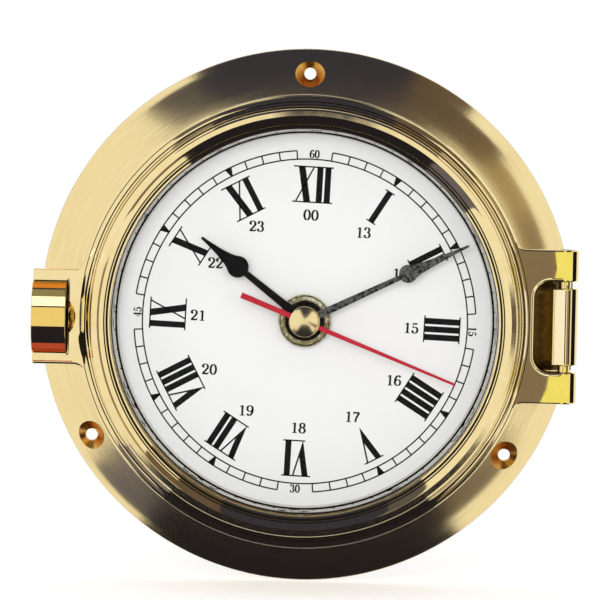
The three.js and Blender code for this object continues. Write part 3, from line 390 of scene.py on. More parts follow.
def slab_shell(
    bm: Shape, loop: Loop, stations: list[Point], spindle: Spindle, shares: Sequence[float] | None = None
) -> tuple[Rim, Rim]:
    """Add the wall of one loop of a slab.

    Args:
        bm: shape to add to.
        loop: closed loop with the material on its left.
        stations: pairs of inset and height.
        spindle: the line that the slab is stacked along.
        shares: share of the inset at each point, all of it unless given.

    Returns:
        The edges round the near face and round the far face.
    """
    rings = []
    for inset, height in stations:
        ring = inset_loop(loop, inset)
        if shares:
            ring = [tuple(a + (b - a) * k for a, b in zip(p, q)) for p, q, k in zip(loop, ring, shares)]
        rings.append(ring_of(bm, ring, height, spindle))
    return walled(bm, rings)


def slab(
    name: str,
    outline: Loop,
    low: float,
    high: float,
    edges: Edges = Edges(),
    holes: Sequence[Loop] = (),
    spindle: Spindle = FACE,
) -> Piece:
    """A flat piece of any outline with rounded edges and holes.

    Args:
        name: name of the piece.
        outline: closed outer loop.
        low: height of the near face.
        high: height of the far face.
        edges: how the edges are rounded.
        holes: closed loops that are left open.
        spindle: the line that it is stacked along.

    Returns:
        The slab.
    """
    bm = bmesh.new()
    near, far = [], []
    loops = [outline if signed_area(outline) > 0 else outline[::-1]]
    loops += [hole if signed_area(hole) < 0 else hole[::-1] for hole in holes]
    for loop in loops:
        foot, top = slab_shell(bm, thinned(loop), edges.stations(low, high), spindle)
        near += foot
        far += top
    bmesh.ops.triangle_fill(bm, edges=near, use_beauty=True)
    bmesh.ops.triangle_fill(bm, edges=far, use_beauty=True)
    return object_of(name, bm)


def work(piece: Piece, join: Join, *tools: Piece) -> Piece:
    """Cut tools out of a piece, or weld them to it.

    Args:
        piece: piece that is worked on.
        join: whether the tools are cut or welded.
        tools: shapes that are used up.

    Returns:
        The piece.
    """
    for tool in tools:
        step = piece.modifiers.new("work", "BOOLEAN")
        step.operation = join.value
        step.solver = "EXACT"
        step.object = tool
    result = piece.evaluated_get(bpy.context.evaluated_depsgraph_get())
    mesh = bpy.data.meshes.new_from_object(result)
    piece.modifiers.clear()
    worn = piece.data
    piece.data = mesh
    mesh.name = piece.name
    bpy.data.meshes.remove(worn)
    for tool in tools:
        bpy.data.meshes.remove(tool.data)
    return piece


def merged(name: str, *parts: Piece) -> Piece:
    """Gather several shapes into one object.

    Args:
        name: name of the new piece.
        parts: shapes that are used up.

    Returns:
        The piece.
    """
    bm = bmesh.new()
    for part in parts:
        bm.from_mesh(part.data)
        bpy.data.meshes.remove(part.data)
    return linked(name, bm)


# Finishes


class NodeBench:
    """Lays out the nodes of one material or world."""

    def __init__(self, tree: bpy.types.NodeTree) -> None:
        """Start from an empty tree."""
        self.tree = tree
        tree.nodes.clear()

    def add(self, kind: str, values: dict | None = None, **settings: object) -> bpy.types.Node:
        """Add a node.

        Args:
            kind: node type without its ShaderNode prefix.
            values: input names or numbers with a constant, or a socket to link.
            settings: attributes of the node.

        Returns:
            The node.
        """
        node = self.tree.nodes.new("ShaderNode" + kind)
        for key, value in settings.items():
            setattr(node, key, value)
        for key, value in (values or {}).items():
            if isinstance(value, Socket):
                self.tree.links.new(value, node.inputs[key])
            else:
                node.inputs[key].default_value = value
        return node

    def math(self, operation: str, *terms: object) -> Socket:
        """The result of a math node on constants or sockets."""
        return self.add("Math", dict(enumerate(terms)), operation=operation).outputs[0]

    def span(self, value: Socket, low: float, high: float) -> Socket:
        """Spread a noise value, mostly between 0.3 and 0.7, over a range."""
        values = {"Value": value, "From Min": 0.3, "From Max": 0.7, "To Min": low, "To Max": high}
        return self.add("MapRange", values).outputs["Result"]

    def blend(self, factor: Socket, first: tuple, second: tuple) -> Socket:
        """Mix two colours.

        Args:
            factor: share of the second.
            first: red, green and blue.
            second: red, green and blue.

        Returns:
            The mixed colour.
        """
        node = self.add("Mix", {0: factor}, data_type="RGBA")
        node.inputs[6].default_value = (*first, 1)
        node.inputs[7].default_value = (*second, 1)
        return node.outputs[2]

    def mirrored(self) -> Socket:
        """One for what a reflection shows, also one behind the glass, and nought for the rest."""
        return self.math("GREATER_THAN", self.add("LightPath").outputs["Glossy Depth"], 0.5)

    def place(self) -> Socket:
        """The place on the piece, in its own frame."""
        return self.add("TexCoord").outputs["Object"]

    def surface(self, shader: bpy.types.Node) -> None:
        """Show a shader on the material's surface."""
        self.add("OutputMaterial", {"Surface": shader.outputs[0]})

    def noise(self, vector: Socket, scale: float, detail: float = 3.0) -> Socket:
        """The value of a noise texture, by its features per metre and its number of finer layers."""
        values = {"Vector": vector, "Scale": scale, "Detail": detail}
        return self.add("TexNoise", values).outputs["Fac"]


def new_material(name: str) -> tuple[bpy.types.Material, NodeBench]:
    """An empty material with the bench for its nodes."""
    made = bpy.data.materials.new(name)
    made.use_nodes = True
    return made, NodeBench(made.node_tree)


class Axis(Enum):
    """The line that turning marks run round: a point of it in metres, two directions across it, its own."""

    FACE = ((0.0, 0.0, 0.0), "X", "Z", "Y")
    LOCK = ((0.0, -LOCK_HEIGHT * MM, 0.0), "Y", "Z", "X")
    HINGE = ((HINGE_POINT[0] * MM, -HINGE_POINT[1] * MM, 0.0), "X", "Y", "Z")


@dataclass(frozen=True)
class Finish:
    """A surface finish with its pattern."""

    name: str  # name of the material
    colour: Space  # mean colour, linear
    dark: Space  # colour in its darker places, linear
    rough: Point  # range of roughness
    scale: float  # pattern features per metre
    depth: float  # height of the pattern in metres
    metallic: float = 0.0  # 1 for metal
    grain: Grain = Grain.EVEN  # how the pattern lies
    coat: float = 0.0  # strength of a clear coat
    stretch: float = 0.0  # how far turning marks draw out reflections
    axis: Axis = Axis.FACE  # line that turning marks run round
    glint: float = 0.5  # strength of the plain surface reflection, 0.5 for most paints and plastics
    contrast: float = 1.0  # how far apart light and dark patches are
    fine_share: ClassVar[float] = 0.65  # share of the fine pattern, the rest being the broad one
    broad_step: ClassVar[float] = 12.0  # how much broader that is
    broad_limit: ClassVar[float] = 60.0  # its most features per metre
    coat_rough: ClassVar[float] = 0.06  # roughness of the clear coat
    marks_round: ClassVar[float] = 6.0  # how fast turning marks change round the axis

    @cache
    def material(self) -> bpy.types.Material:
        """The finish as a material, made once."""
        made, bench = new_material(self.name)
        if self.grain is Grain.ROUND:
            fine = bench.noise(self.round_place(bench, bench.place()), 1.0, 4.0)
        else:
            fine = bench.noise(bench.place(), self.scale, 4.0)
        broad = bench.noise(bench.place(), min(self.scale / self.broad_step, self.broad_limit), 2.0)
        shares = (self.fine_share, 1 - self.fine_share)
        tone = bench.math("ADD", *(bench.math("MULTIPLY", *pair) for pair in zip((fine, broad), shares)))
        patches = bench.span(tone, 0.5 - 0.5 * self.contrast, 0.5 + 0.5 * self.contrast)
        bump = bench.add("Bump", {"Strength": 0.5, "Distance": self.depth, "Height": fine})
        values = {
            "Base Color": bench.blend(patches, self.dark, self.colour),
            "Roughness": bench.span(tone, self.rough[1], self.rough[0]),
            "Metallic": self.metallic,
            "Normal": bump.outputs[0],
            "Coat Weight": self.coat,
            "Coat Roughness": self.coat_rough,
            "Specular IOR Level": self.glint,
        }
        if self.stretch:
            marks = bench.add("Tangent", direction_type="RADIAL", axis=self.axis.value[3]).outputs[0]
            values |= {"Anisotropic": self.stretch, "Anisotropic Rotation": 0.25, "Tangent": marks}
        bench.surface(bench.add("BsdfPrincipled", values))
        return made

    def round_place(self, bench: NodeBench, where: Socket) -> Socket:
        """Stretch the place along circles about the axis.

        Args:
            bench: nodes of the material.
            where: place in the row's frame.

        Returns:
            A place that changes slowly round the axis and fast across it.
        """
        centre, first, second, along = self.axis.value
        shift = bench.add("VectorMath", {0: where, 1: centre}, operation="SUBTRACT").outputs[0]
        parts = bench.add("SeparateXYZ", {0: shift}).outputs
        squares = [bench.math("POWER", parts[key], 2.0) for key in (first, second)]
        radius = bench.math("SQRT", bench.math("ADD", *squares))
        safe = bench.math("MAXIMUM", radius, 1e-5)
        ways = [bench.math("DIVIDE", parts[key], safe) for key in (first, second)]
        turns = [bench.math("MULTIPLY", way, self.marks_round) for way in ways]
        across = bench.math("MULTIPLY", bench.math("ADD", radius, parts[along]), self.scale)
        return bench.add("CombineXYZ", {0: turns[0], 1: turns[1], 2: across}).outputs[0]


BRASS_LIGHT: Space = (0.92, 0.76, 0.41)
BRASS_DEEP: Space = (0.86, 0.68, 0.33)
POLISHED_BRASS = Finish(
    "buffed_brass", BRASS_LIGHT, BRASS_DEEP, (0.03, 0.07), scale=420.0, depth=1e-6, metallic=1.0
)
BRUSHED_BRASS = Finish(
    "brushed_brass", BRASS_LIGHT, (0.82, 0.64, 0.29), (0.10, 0.24),
    scale=5000.0, depth=2e-5, metallic=1.0, grain=Grain.ROUND, stretch=0.5,
)
TURNED_BRASS = Finish(
    "turned_brass", BRASS_LIGHT, BRASS_DEEP, (0.04, 0.08),
    scale=5000.0, depth=1e-6, metallic=1.0, grain=Grain.ROUND, axis=Axis.LOCK,
)
SPUN_CAP_BRASS = Finish(
    "spun_cap_brass", BRASS_LIGHT, BRASS_DEEP, (0.10, 0.16),
    scale=12000.0, depth=4e-6, metallic=1.0, grain=Grain.ROUND, stretch=0.5,
)
PLAIN_BRASS = Finish(
    "machined_brass", (0.82, 0.62, 0.27), (0.60, 0.42, 0.15), (0.24, 0.42),
    scale=1500.0, depth=1e-5, metallic=1.0,
)
HINGE_BRASS = Finish(
    "buffed_hinge_brass", BRASS_LIGHT, BRASS_DEEP, (0.04, 0.08),
    scale=5000.0, depth=1e-6, metallic=1.0, grain=Grain.ROUND, axis=Axis.HINGE,
)
BRIGHT_RING = Finish(
    "flared_ring_bright", (0.70, 0.69, 0.65), (0.56, 0.55, 0.51), (0.05, 0.12),
    scale=7000.0, depth=3e-6, metallic=1.0, grain=Grain.ROUND,
)
KNURLED_BRASS = Finish(
    "knurled_brass", (0.97, 0.91, 0.64), (0.42, 0.35, 0.15), (0.2, 0.4),
    scale=1900.0, depth=3e-5, metallic=1.0, contrast=4.0,
)
COUNTERSUNK_BRASS = Finish(
    "countersunk_brass", (0.86, 0.50, 0.14), (0.60, 0.30, 0.06), (0.22, 0.34),
    scale=3000.0, depth=6e-6, metallic=1.0,
)
# Painted shade: the hinge arm's brass is darkened to stand in for the shadow seen through the hinge window.
SHADED_ARM_BRASS = Finish(
    "arm_brass_painted_shade", (0.21, 0.15, 0.055), (0.10, 0.07, 0.028), (0.3, 0.42),
    scale=900.0, depth=8e-6, metallic=1.0,
)
# Painted shade and dark reflection: a near-black finish for thin pieces that stand in for shade in grooves,
# gaps and corners, and for dark reflections along the hinge barrel.
PAINTED_DARK = Finish(
    "painted_shade_and_dark_reflection", (0.022, 0.016, 0.006), (0.008, 0.006, 0.003), (0.5, 0.7),
    scale=2500.0, depth=1e-5, metallic=0.3, glint=0.1,
)
DIAL_ENAMEL = Finish(
    "white_enamel", (0.90, 0.90, 0.89), (0.88, 0.88, 0.87), (0.38, 0.46),
    scale=2200.0, depth=3e-6, glint=0.2,
)
DIAL_INK = Finish(
    "dial_ink", (0.006, 0.006, 0.006), (0.012, 0.012, 0.012), (0.6, 0.7),
    scale=6000.0, depth=4e-6, glint=0.05,
)
BLACK_PAINT = Finish(
    "satin_black_paint", (0.004, 0.004, 0.004), (0.008, 0.008, 0.008), (0.45, 0.6),
    scale=3500.0, depth=8e-6, glint=0.03,
)
GREY_PAINT = Finish(
    "satin_grey_paint", (0.11, 0.11, 0.107), (0.004, 0.004, 0.004), (0.34, 0.5),
    scale=1500.0, depth=4e-5, glint=0.1, contrast=3.0,
)
RED_PAINT = Finish(
    "signal_red_paint", (0.56, 0.022, 0.044), (0.44, 0.012, 0.03), (0.4, 0.5),
    scale=3000.0, depth=8e-6, glint=0.2,
)
STEEL = Finish(
    "bright_steel", (0.60, 0.60, 0.61), (0.45, 0.45, 0.46), (0.22, 0.36),
    scale=2000.0, depth=8e-6, metallic=1.0,
)
BLACK_PLASTIC = Finish(
    "moulded_black", (0.020, 0.020, 0.022), (0.030, 0.030, 0.032), (0.46, 0.60),
    scale=4200.0, depth=3e-5,
)
IVORY_PLASTIC = Finish(
    "moulded_ivory", (0.80, 0.75, 0.63), (0.74, 0.68, 0.55), (0.40, 0.52), scale=3000.0, depth=1e-5
)
BLACK_RUBBER = Finish(
    "soft_black_rubber", (0.018, 0.018, 0.018), (0.03, 0.03, 0.03), (0.66, 0.8),
    scale=3500.0, depth=2e-5,
)
COPPER_WIRE = Finish(
    "enamelled_wire", (0.60, 0.27, 0.12), (0.38, 0.14, 0.05), (0.25, 0.4),
    scale=8000.0, depth=6e-5, metallic=1.0, grain=Grain.ROUND, axis=Axis.LOCK,
)
BOARD = Finish(
    "green_board", (0.03, 0.11, 0.05), (0.02, 0.07, 0.03), (0.4, 0.5), scale=1200.0, depth=1e-5
)
CELL_SLEEVE = Finish(
    "cell_sleeve", (0.045, 0.06, 0.09), (0.03, 0.04, 0.065), (0.26, 0.36),
    scale=1500.0, depth=6e-6, coat=0.4,
)


@dataclass(frozen=True)
class ClearGlass:
    """Flat mineral glass with faint wipe marks."""

    name: str = "window_glass"  # name of the material
    tint: Space = (0.985, 0.99, 0.985)  # colour that the glass lets through
    bend: float = 1.1  # refractive index
    glint: float = 0.5  # share of the surface reflection that its coating leaves
    haze: Point = (0.0, 0.02)  # range of roughness

    @cache
    def material(self) -> bpy.types.Material:
        """The glass as a material, made once."""
        made, bench = new_material(self.name)
        marks = bench.noise(bench.place(), 160.0)
        values = {
            "Base Color": (*self.tint, 1),
            "Roughness": bench.span(marks, *self.haze),
            "IOR": self.bend,
            "Specular IOR Level": self.glint,
            "Transmission Weight": 1.0,
        }
        bench.surface(bench.add("BsdfPrincipled", values))
        return made


CLEAR_GLASS = ClearGlass()


# Fitting


class Assembly:
    """A sub-assembly of the clock, which puts its finished pieces on their bodies."""

    smooth_angle: ClassVar[float] = 34.0  # sharpest angle in degrees that is still shaded round
    level_look: ClassVar[float] = 0.99999  # how straight ahead a level face looks, 1 being quite straight
    fitted: ClassVar[list[str]] = []  # names of the pieces so far

    def build(self) -> None:
        """Make the pieces."""
        raise NotImplementedError

    def fit(
        self,
        piece: Piece,
        body: Body,
        finish: Finish | ClearGlass,
        slot: str,
        node: str | None = None,
        level: bool = False,
    ) -> None:
        """Smooth, dress and mount a piece.

        Args:
            piece: the new piece.
            body: body that it rides on.
            finish: its surface.
            slot: material slot of the record; not used.
            node: solid that it stands for, if any.
            level: whether faces that look straight ahead stay flat.
        """
        mesh = piece.data
        mesh.polygons.foreach_set("use_smooth", [True] * len(mesh.polygons))
        mesh.set_sharp_from_angle(angle=math.radians(self.smooth_angle))
        if level:
            self.keep_level(mesh)
        even = piece.modifiers.new("even_normals", "WEIGHTED_NORMAL")
        even.keep_sharp = True
        mesh.materials.clear()
        mesh.materials.append(finish.material())
        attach(piece, body.value)
        if node:
            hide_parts(node)
        self.fitted.append(piece.name)
        log.info("%s rides on %s", piece.name, body.value)

    def keep_level(self, mesh: bpy.types.Mesh) -> None:
        """Part the faces that look straight ahead from the round ones.

        Args:
            mesh: mesh of the piece.
        """
        kinds: dict[tuple[int, int], set[bool]] = {}
        for face in mesh.polygons:
            for key in face.edge_keys:
                kinds.setdefault(key, set()).add(abs(face.normal.y) > self.level_look)
        for edge in mesh.edges:
            if len(kinds.get(edge.key, ())) > 1:
                edge.use_edge_sharp = True

    def dress(self, finish: Finish, *nodes: str) -> None:
        """Give solids that keep their shape a finish.

        Args:
            finish: their surface.
            nodes: names of the solids.
        """
        for node in nodes:
            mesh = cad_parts[node].data
            mesh.materials.clear()
            mesh.materials.append(finish.material())
            log.info("%s dressed in %s", node, finish.name)


@dataclass(frozen=True)
class Extent:
    """Where a solid of the frame sits, in the face frame."""

    left: float  # lowest x
    right: float  # highest x
    low: float  # lowest y
    high: float  # highest y
    foot: float  # lowest z
    top: float  # highest z

    @classmethod
    def of(cls, node: str) -> "Extent":
        """Measure a solid of the frame.

        Args:
            node: its name.

        Returns:
            Its extent in millimetres.
        """
        first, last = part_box(node)
        values = (first[0], last[0], first[2], last[2], -last[1], -first[1])
        return cls(*(value / MM for value in values))

    @property
    def radius(self) -> float:
        """Half of its height on the face."""
        return (self.high - self.low) / 2

    @property
    def centre(self) -> Point:
        """Its middle on the face."""
        return (self.left + self.right) / 2, (self.low + self.high) / 2


# Case


@dataclass
class Case(Assembly):
    """The turned brass case with its flange, hinge bracket and pin."""

    rim: float = 1.5  # height of the straight edge of the flange
    crown: float = 6.5  # height where the flange meets the drum
    shoulder: Point = (2.6, 0.9)  # pull of the flange's curve, inwards and downwards
    drum: float = 48.5  # radius of the drum
    bore: float = 45.5  # inner radius of the drum
    shelf: float = 26.0  # height of the drum's upper step
    spigot: float = 47.0  # radius of the neck that the bezel closes over
    ledge: float = 42.3  # inner radius of the dial ledge
    ledge_foot: float = 21.0  # height of its lower face
    ledge_top: float = 23.0  # height of its upper face
    # Radius and angle of each fixing hole.
    fixings: tuple[Point, ...] = ((54.4, 90.2), (55.4, 210.3), (54.6, 326.0))
    fixing_hole: float = 1.35  # radius of the holes
    countersink: float = 3.35  # radius of their countersinks
    pin_radius: float = 1.35  # radius of the hinge pin
    # Radius and distance from the end at each step of its domes, as a share and in millimetres.
    pin_ends: tuple[Point, ...] = ((0.0, 0.0), (0.6, 0.08), (0.9, 0.3), (1.0, 0.6))
    barrel: float = 2.9  # radius of the hinge barrel
    barrel_length: float = 17.0  # length of the barrel
    barrel_flat: float = 2.8  # reach of the barrel's flat towards the drum
    arm_top: float = 25.6  # height of the arm's upper face
    arm_start: float = 51.0  # x where the arm rises to the barrel
    arm_drop: float = 12.0  # length of the arm's foot on the drum
    arm_half: float = 9.75  # half of the arm's length along the hinge
    # Angle of each painted dark reflection line along the barrel's front, from the front to the right.
    barrel_reflection_lines: tuple[float, ...] = (2.0, 19.0)
    line_width: float = 4.5  # width of the lines in degrees
    hinge_edges: Edges = Edges(0.3, 0.3)  # how the edges of arm and barrel are rounded

    def flange_curve(self, steps: int = 28) -> Loop:
        """The flange's front from its rim to the drum, in a number of chords."""
        edge = Extent.of("case_body").high
        control = (edge - self.shoulder[0], self.crown - self.shoulder[1])
        return curve((edge, self.rim), control, (self.drum + 0.5, self.crown), steps)

    def profile(self) -> Loop:
        """The section of the case, from the back of the rim round to the bore."""
        flange = self.flange_curve()
        edge = flange[0][0]
        top = self.shelf + 4.0
        return [
            (edge - 0.5, 0.0), (edge - 0.15, 0.12), (edge, 0.5),
            *flange,
            *arc((self.drum + 0.5, self.crown + 0.5), 0.5, 270, 180, 5)[1:],
            (self.drum, self.shelf - 0.3), (self.drum - 0.3, self.shelf),
            (self.spigot + 0.15, self.shelf), (self.spigot, self.shelf + 0.15),
            (self.spigot, top - 0.35), (self.spigot - 0.35, top), (self.bore + 0.35, top),
            (self.bore, top - 0.35), (self.bore, self.ledge_top),
            (self.ledge + 0.2, self.ledge_top), (self.ledge, self.ledge_top - 0.2),
            (self.ledge, self.ledge_foot + 0.2), (self.ledge + 0.2, self.ledge_foot),
            (self.bore, self.ledge_foot), (self.bore, 0.4), (self.bore + 0.4, 0.0),
        ]

    def height_at(self, radius: float) -> float:
        """Height of the flange's front at a radius."""
        return min((abs(r - radius), h) for r, h in self.flange_curve(600))[1]

    def fixing_cutters(self, radius: float, degrees: float) -> list[Piece]:
        """The shapes of one countersunk hole.

        Args:
            radius: its distance from the clock's middle.
            degrees: its angle on the flange.

        Returns:
            The drill, and the countersink that leans with the flange.
        """
        seat = self.height_at(radius)
        drop = (self.height_at(radius - 1) - self.height_at(radius + 1)) / 2
        lean = math.atan(drop)
        x, y = polar(radius, degrees)
        drill = band("drill", (0.0, self.fixing_hole), (-1.0, seat + 2), Spindle((x, y, 0.0)), 72)
        tip = self.fixing_hole * 0.8
        lip = self.countersink + 0.12
        depth = self.countersink - tip
        cone = [(0.0, -depth), (tip, -depth), (self.countersink, 0.0), (lip, 0.15), (lip, 2.0), (0.0, 2.0)]
        out = (*polar(math.sin(lean), degrees), math.cos(lean))
        leaning = Spindle((x, y, seat), out, (*polar(1.0, degrees + 90), 0.0))
        return [drill, turned("countersink", cone, leaning, 96)]

    def warm_countersinks(self, shell: Piece) -> None:
        """Give the countersinks their own finish.

        Args:
            shell: the case.
        """
        mesh = shell.data
        mesh.materials.append(COUNTERSUNK_BRASS.material())
        centres = [polar(*fixing) for fixing in self.fixings]
        for face in mesh.polygons:
            x, depth, y = (value / MM for value in face.center)
            near = min(math.dist((x, y), centre) for centre in centres) < self.countersink + 0.1
            if near and 0.3 < -depth < self.height_at(math.hypot(x, y)) - 0.06:
                face.material_index = 1

    def barrel_piece(self) -> Piece:
        """The hinge barrel with its bore, flat in front towards the drum."""
        x, height = HINGE_POINT
        half = self.barrel_length / 2
        corner = 0.5
        left = x - self.barrel_flat + corner
        side = [
            *arc((x, height), self.barrel, -90, 90, 32),
            *arc((left, height + self.barrel - corner), corner, 90, 180, 6),
            *arc((left, height - self.barrel + corner), corner, 180, 270, 6),
        ]
        bore = circle(PIN_BORE, 48, HINGE_POINT)
        return slab("hinge_barrel", side, -half, half, self.hinge_edges, [bore], SIDE_LINE)

    def knuckle_reflection_lines(self) -> Piece:
        """Painted dark reflection lines along the barrel: near-black strips that stand in for reflections
        of dark surroundings.
        """
        half = self.barrel_length / 2 - 0.4
        lines = []
        for turn in self.barrel_reflection_lines:
            first, last = 90 - turn - self.line_width / 2, 90 - turn + self.line_width / 2
            outer = arc(HINGE_POINT, self.barrel + 0.02, first, last, 3)
            inner = arc(HINGE_POINT, self.barrel - 0.1, last, first, 3)
            lines.append(slab("line", outer + inner, -half, half, spindle=SIDE_LINE))
        return merged("knuckle_reflection_lines", *lines)

    def arm(self) -> Piece:
        """The arm that carries the barrel."""
        root = self.drum - 1.0
        hold = arc(HINGE_POINT, self.barrel - 0.25, 196, 310, 14)
        under = (HINGE_POINT[0] - self.barrel, self.arm_top - self.arm_drop / 2)
        side = [
            (root, self.arm_top),
            *curve((self.arm_start - 1.0, self.arm_top), (self.arm_start + 1.2, self.arm_top), hold[0], 8),
            *hold[1:],
            *curve(hold[-1], under, (root, self.arm_top - self.arm_drop), 14)[1:],
        ]
        return slab("hinge_arm", side, -self.arm_half, self.arm_half, self.hinge_edges, spindle=SIDE_LINE)

    def pin(self) -> Piece:
        """The hinge pin with domed ends."""
        half = Extent.of("hinge_pin").radius
        lower = [(self.pin_radius * share, -half + height) for share, height in self.pin_ends]
        upper = [(radius, -height) for radius, height in reversed(lower)]
        return turned("hinge_pin_smooth", lower + upper, HINGE_LINE, 64)

    def build(self) -> None:
        """Make the case and its hinge."""
        shell = turned("case_shell", self.profile(), sides=240)
        work(shell, Join.CUT, *[tool for fixing in self.fixings for tool in self.fixing_cutters(*fixing)])
        self.fit(shell, Body.CASE, BRUSHED_BRASS, "polished_brass", "case_body")
        self.warm_countersinks(shell)
        self.fit(self.arm(), Body.CASE, SHADED_ARM_BRASS, "hinge_brass")
        self.fit(self.barrel_piece(), Body.CASE, HINGE_BRASS, "hinge_brass")
        self.fit(self.knuckle_reflection_lines(), Body.CASE, PAINTED_DARK, "hinge_brass")
        self.fit(self.pin(), Body.CASE, HINGE_BRASS, "hinge_brass", "hinge_pin")


# Dial


class Ink:
    """Printed shapes, each a strip between two edges, gathered into one thin mesh."""

    def __init__(self, low: float, high: float) -> None:
        """Print between two heights over the bulkhead."""
        self.bm = bmesh.new()
        self.heights = (low, high)

    def strip(self, left: Loop, right: Loop) -> None:
        """Print the band between two edges of the same count.

        Args:
            left: points of one edge.
            right: points of the other.
        """
        rows = []
        for pair in zip(left, right):
            row = [self.bm.verts.new(FACE.place(*p, h)) for p in pair for h in self.heights]
            rows.append([row[i] for i in (0, 1, 3, 2)])
        bar(self.bm, rows)

    def pen(self, path: Loop, widths: Sequence[float]) -> None:
        """Print a stroke along a path.

        Args:
            path: middle line.
            widths: width at each point.
        """
        left, right = [], []
        ends = list(zip(path[:1] + path[:-1], path[1:] + path[-1:]))
        for here, (before, after), width in zip(path, ends, widths):
            ahead = (Vector(after) - Vector(before)).normalized() * width / 2
            left.append((here[0] - ahead.y, here[1] + ahead.x))
            right.append((here[0] + ahead.y, here[1] - ahead.x))
        self.strip(left, right)

    def piece(self, name: str) -> Piece:
        """The print as an object, with its faces turned out before strips that touch are joined."""
        bmesh.ops.recalc_face_normals(self.bm, faces=self.bm.faces)
        return object_of(name, self.bm)


@dataclass(frozen=True)
class Stroke:
    """A stroke of a digit in a box one unit high."""

    path: tuple[Point, ...]  # middle line
    weight: float | None = None  # fixed width, or none for a broad nib


def bowl(centre: Point, across: float, up: float, start: float, end: float) -> tuple[Point, ...]:
    """Points on an elliptic bowl of a digit, half across and half up, between two angles."""
    unit = arc((0.0, 0.0), 1.0, start, end, 20)
    return tuple((centre[0] + across * x, centre[1] + up * y) for x, y in unit)


def ball(centre: Point, radius: float = 0.085) -> Stroke:
    """A round end of a digit's stroke."""
    x, y = centre
    return Stroke(tuple((x + radius * share, y) for share in (-1.0, -0.5, 0.5, 1.0)), radius * 1.9)


SIX = (
    Stroke(bowl((0.29, 0.31), 0.205, 0.265, 0, 360)),
    Stroke(bowl((0.37, 0.42), 0.285, 0.53, 75, 195)),
    ball((0.44, 0.86)),
)
DIGITS: dict[str, tuple[Stroke, ...]] = {
    "0": (Stroke(bowl((0.29, 0.5), 0.21, 0.46, 0, 360)),),
    "1": (
        Stroke(((0.31, 0.04), (0.31, 0.96)), 0.19),
        Stroke(((0.12, 0.80), (0.30, 0.95)), 0.08),
        Stroke(((0.13, 0.035), (0.49, 0.035)), 0.07),
    ),
    "2": (
        Stroke(bowl((0.27, 0.71), 0.2, 0.25, 180, -30) + ((0.30, 0.36), (0.08, 0.09))),
        Stroke(((0.05, 0.08), (0.36, 0.08), (0.5, 0.10)), 0.15),
        Stroke(((0.50, 0.06), (0.53, 0.27)), 0.06),
        ball((0.12, 0.70)),
    ),
    "3": (
        Stroke(bowl((0.25, 0.75), 0.18, 0.215, 150, -90)),
        Stroke(bowl((0.25, 0.285), 0.22, 0.25, 90, -150)),
        ball((0.12, 0.80)),
        ball((0.10, 0.20)),
    ),
    "4": (
        Stroke(((0.37, 0.95), (0.04, 0.30)), 0.07),
        Stroke(((0.03, 0.28), (0.56, 0.28)), 0.08),
        Stroke(((0.37, 0.96), (0.37, 0.04)), 0.19),
        Stroke(((0.23, 0.035), (0.51, 0.035)), 0.07),
    ),
    "5": (
        Stroke(((0.12, 0.90), (0.46, 0.90)), 0.15),
        Stroke(((0.13, 0.94), (0.11, 0.48)), 0.07),
        Stroke(bowl((0.26, 0.32), 0.21, 0.28, 128, -150)),
        ball((0.10, 0.21)),
    ),
    "6": SIX,
    "7": (
        Stroke(((0.07, 0.89), (0.52, 0.89)), 0.16),
        Stroke(((0.07, 0.97), (0.06, 0.70)), 0.06),
        Stroke(((0.50, 0.87), (0.34, 0.55), (0.26, 0.30), (0.24, 0.03)), 0.18),
    ),
    "8": (
        Stroke(bowl((0.29, 0.745), 0.165, 0.205, 0, 360)),
        Stroke(bowl((0.29, 0.285), 0.205, 0.25, 0, 360)),
    ),
    "9": tuple(Stroke(tuple((0.58 - x, 1 - y) for x, y in stroke.path), stroke.weight) for stroke in SIX),
}
ROMAN = ("XII", "I", "II", "III", "IIII", "V", "VI", "VII", "VIII", "IX", "X", "XI")


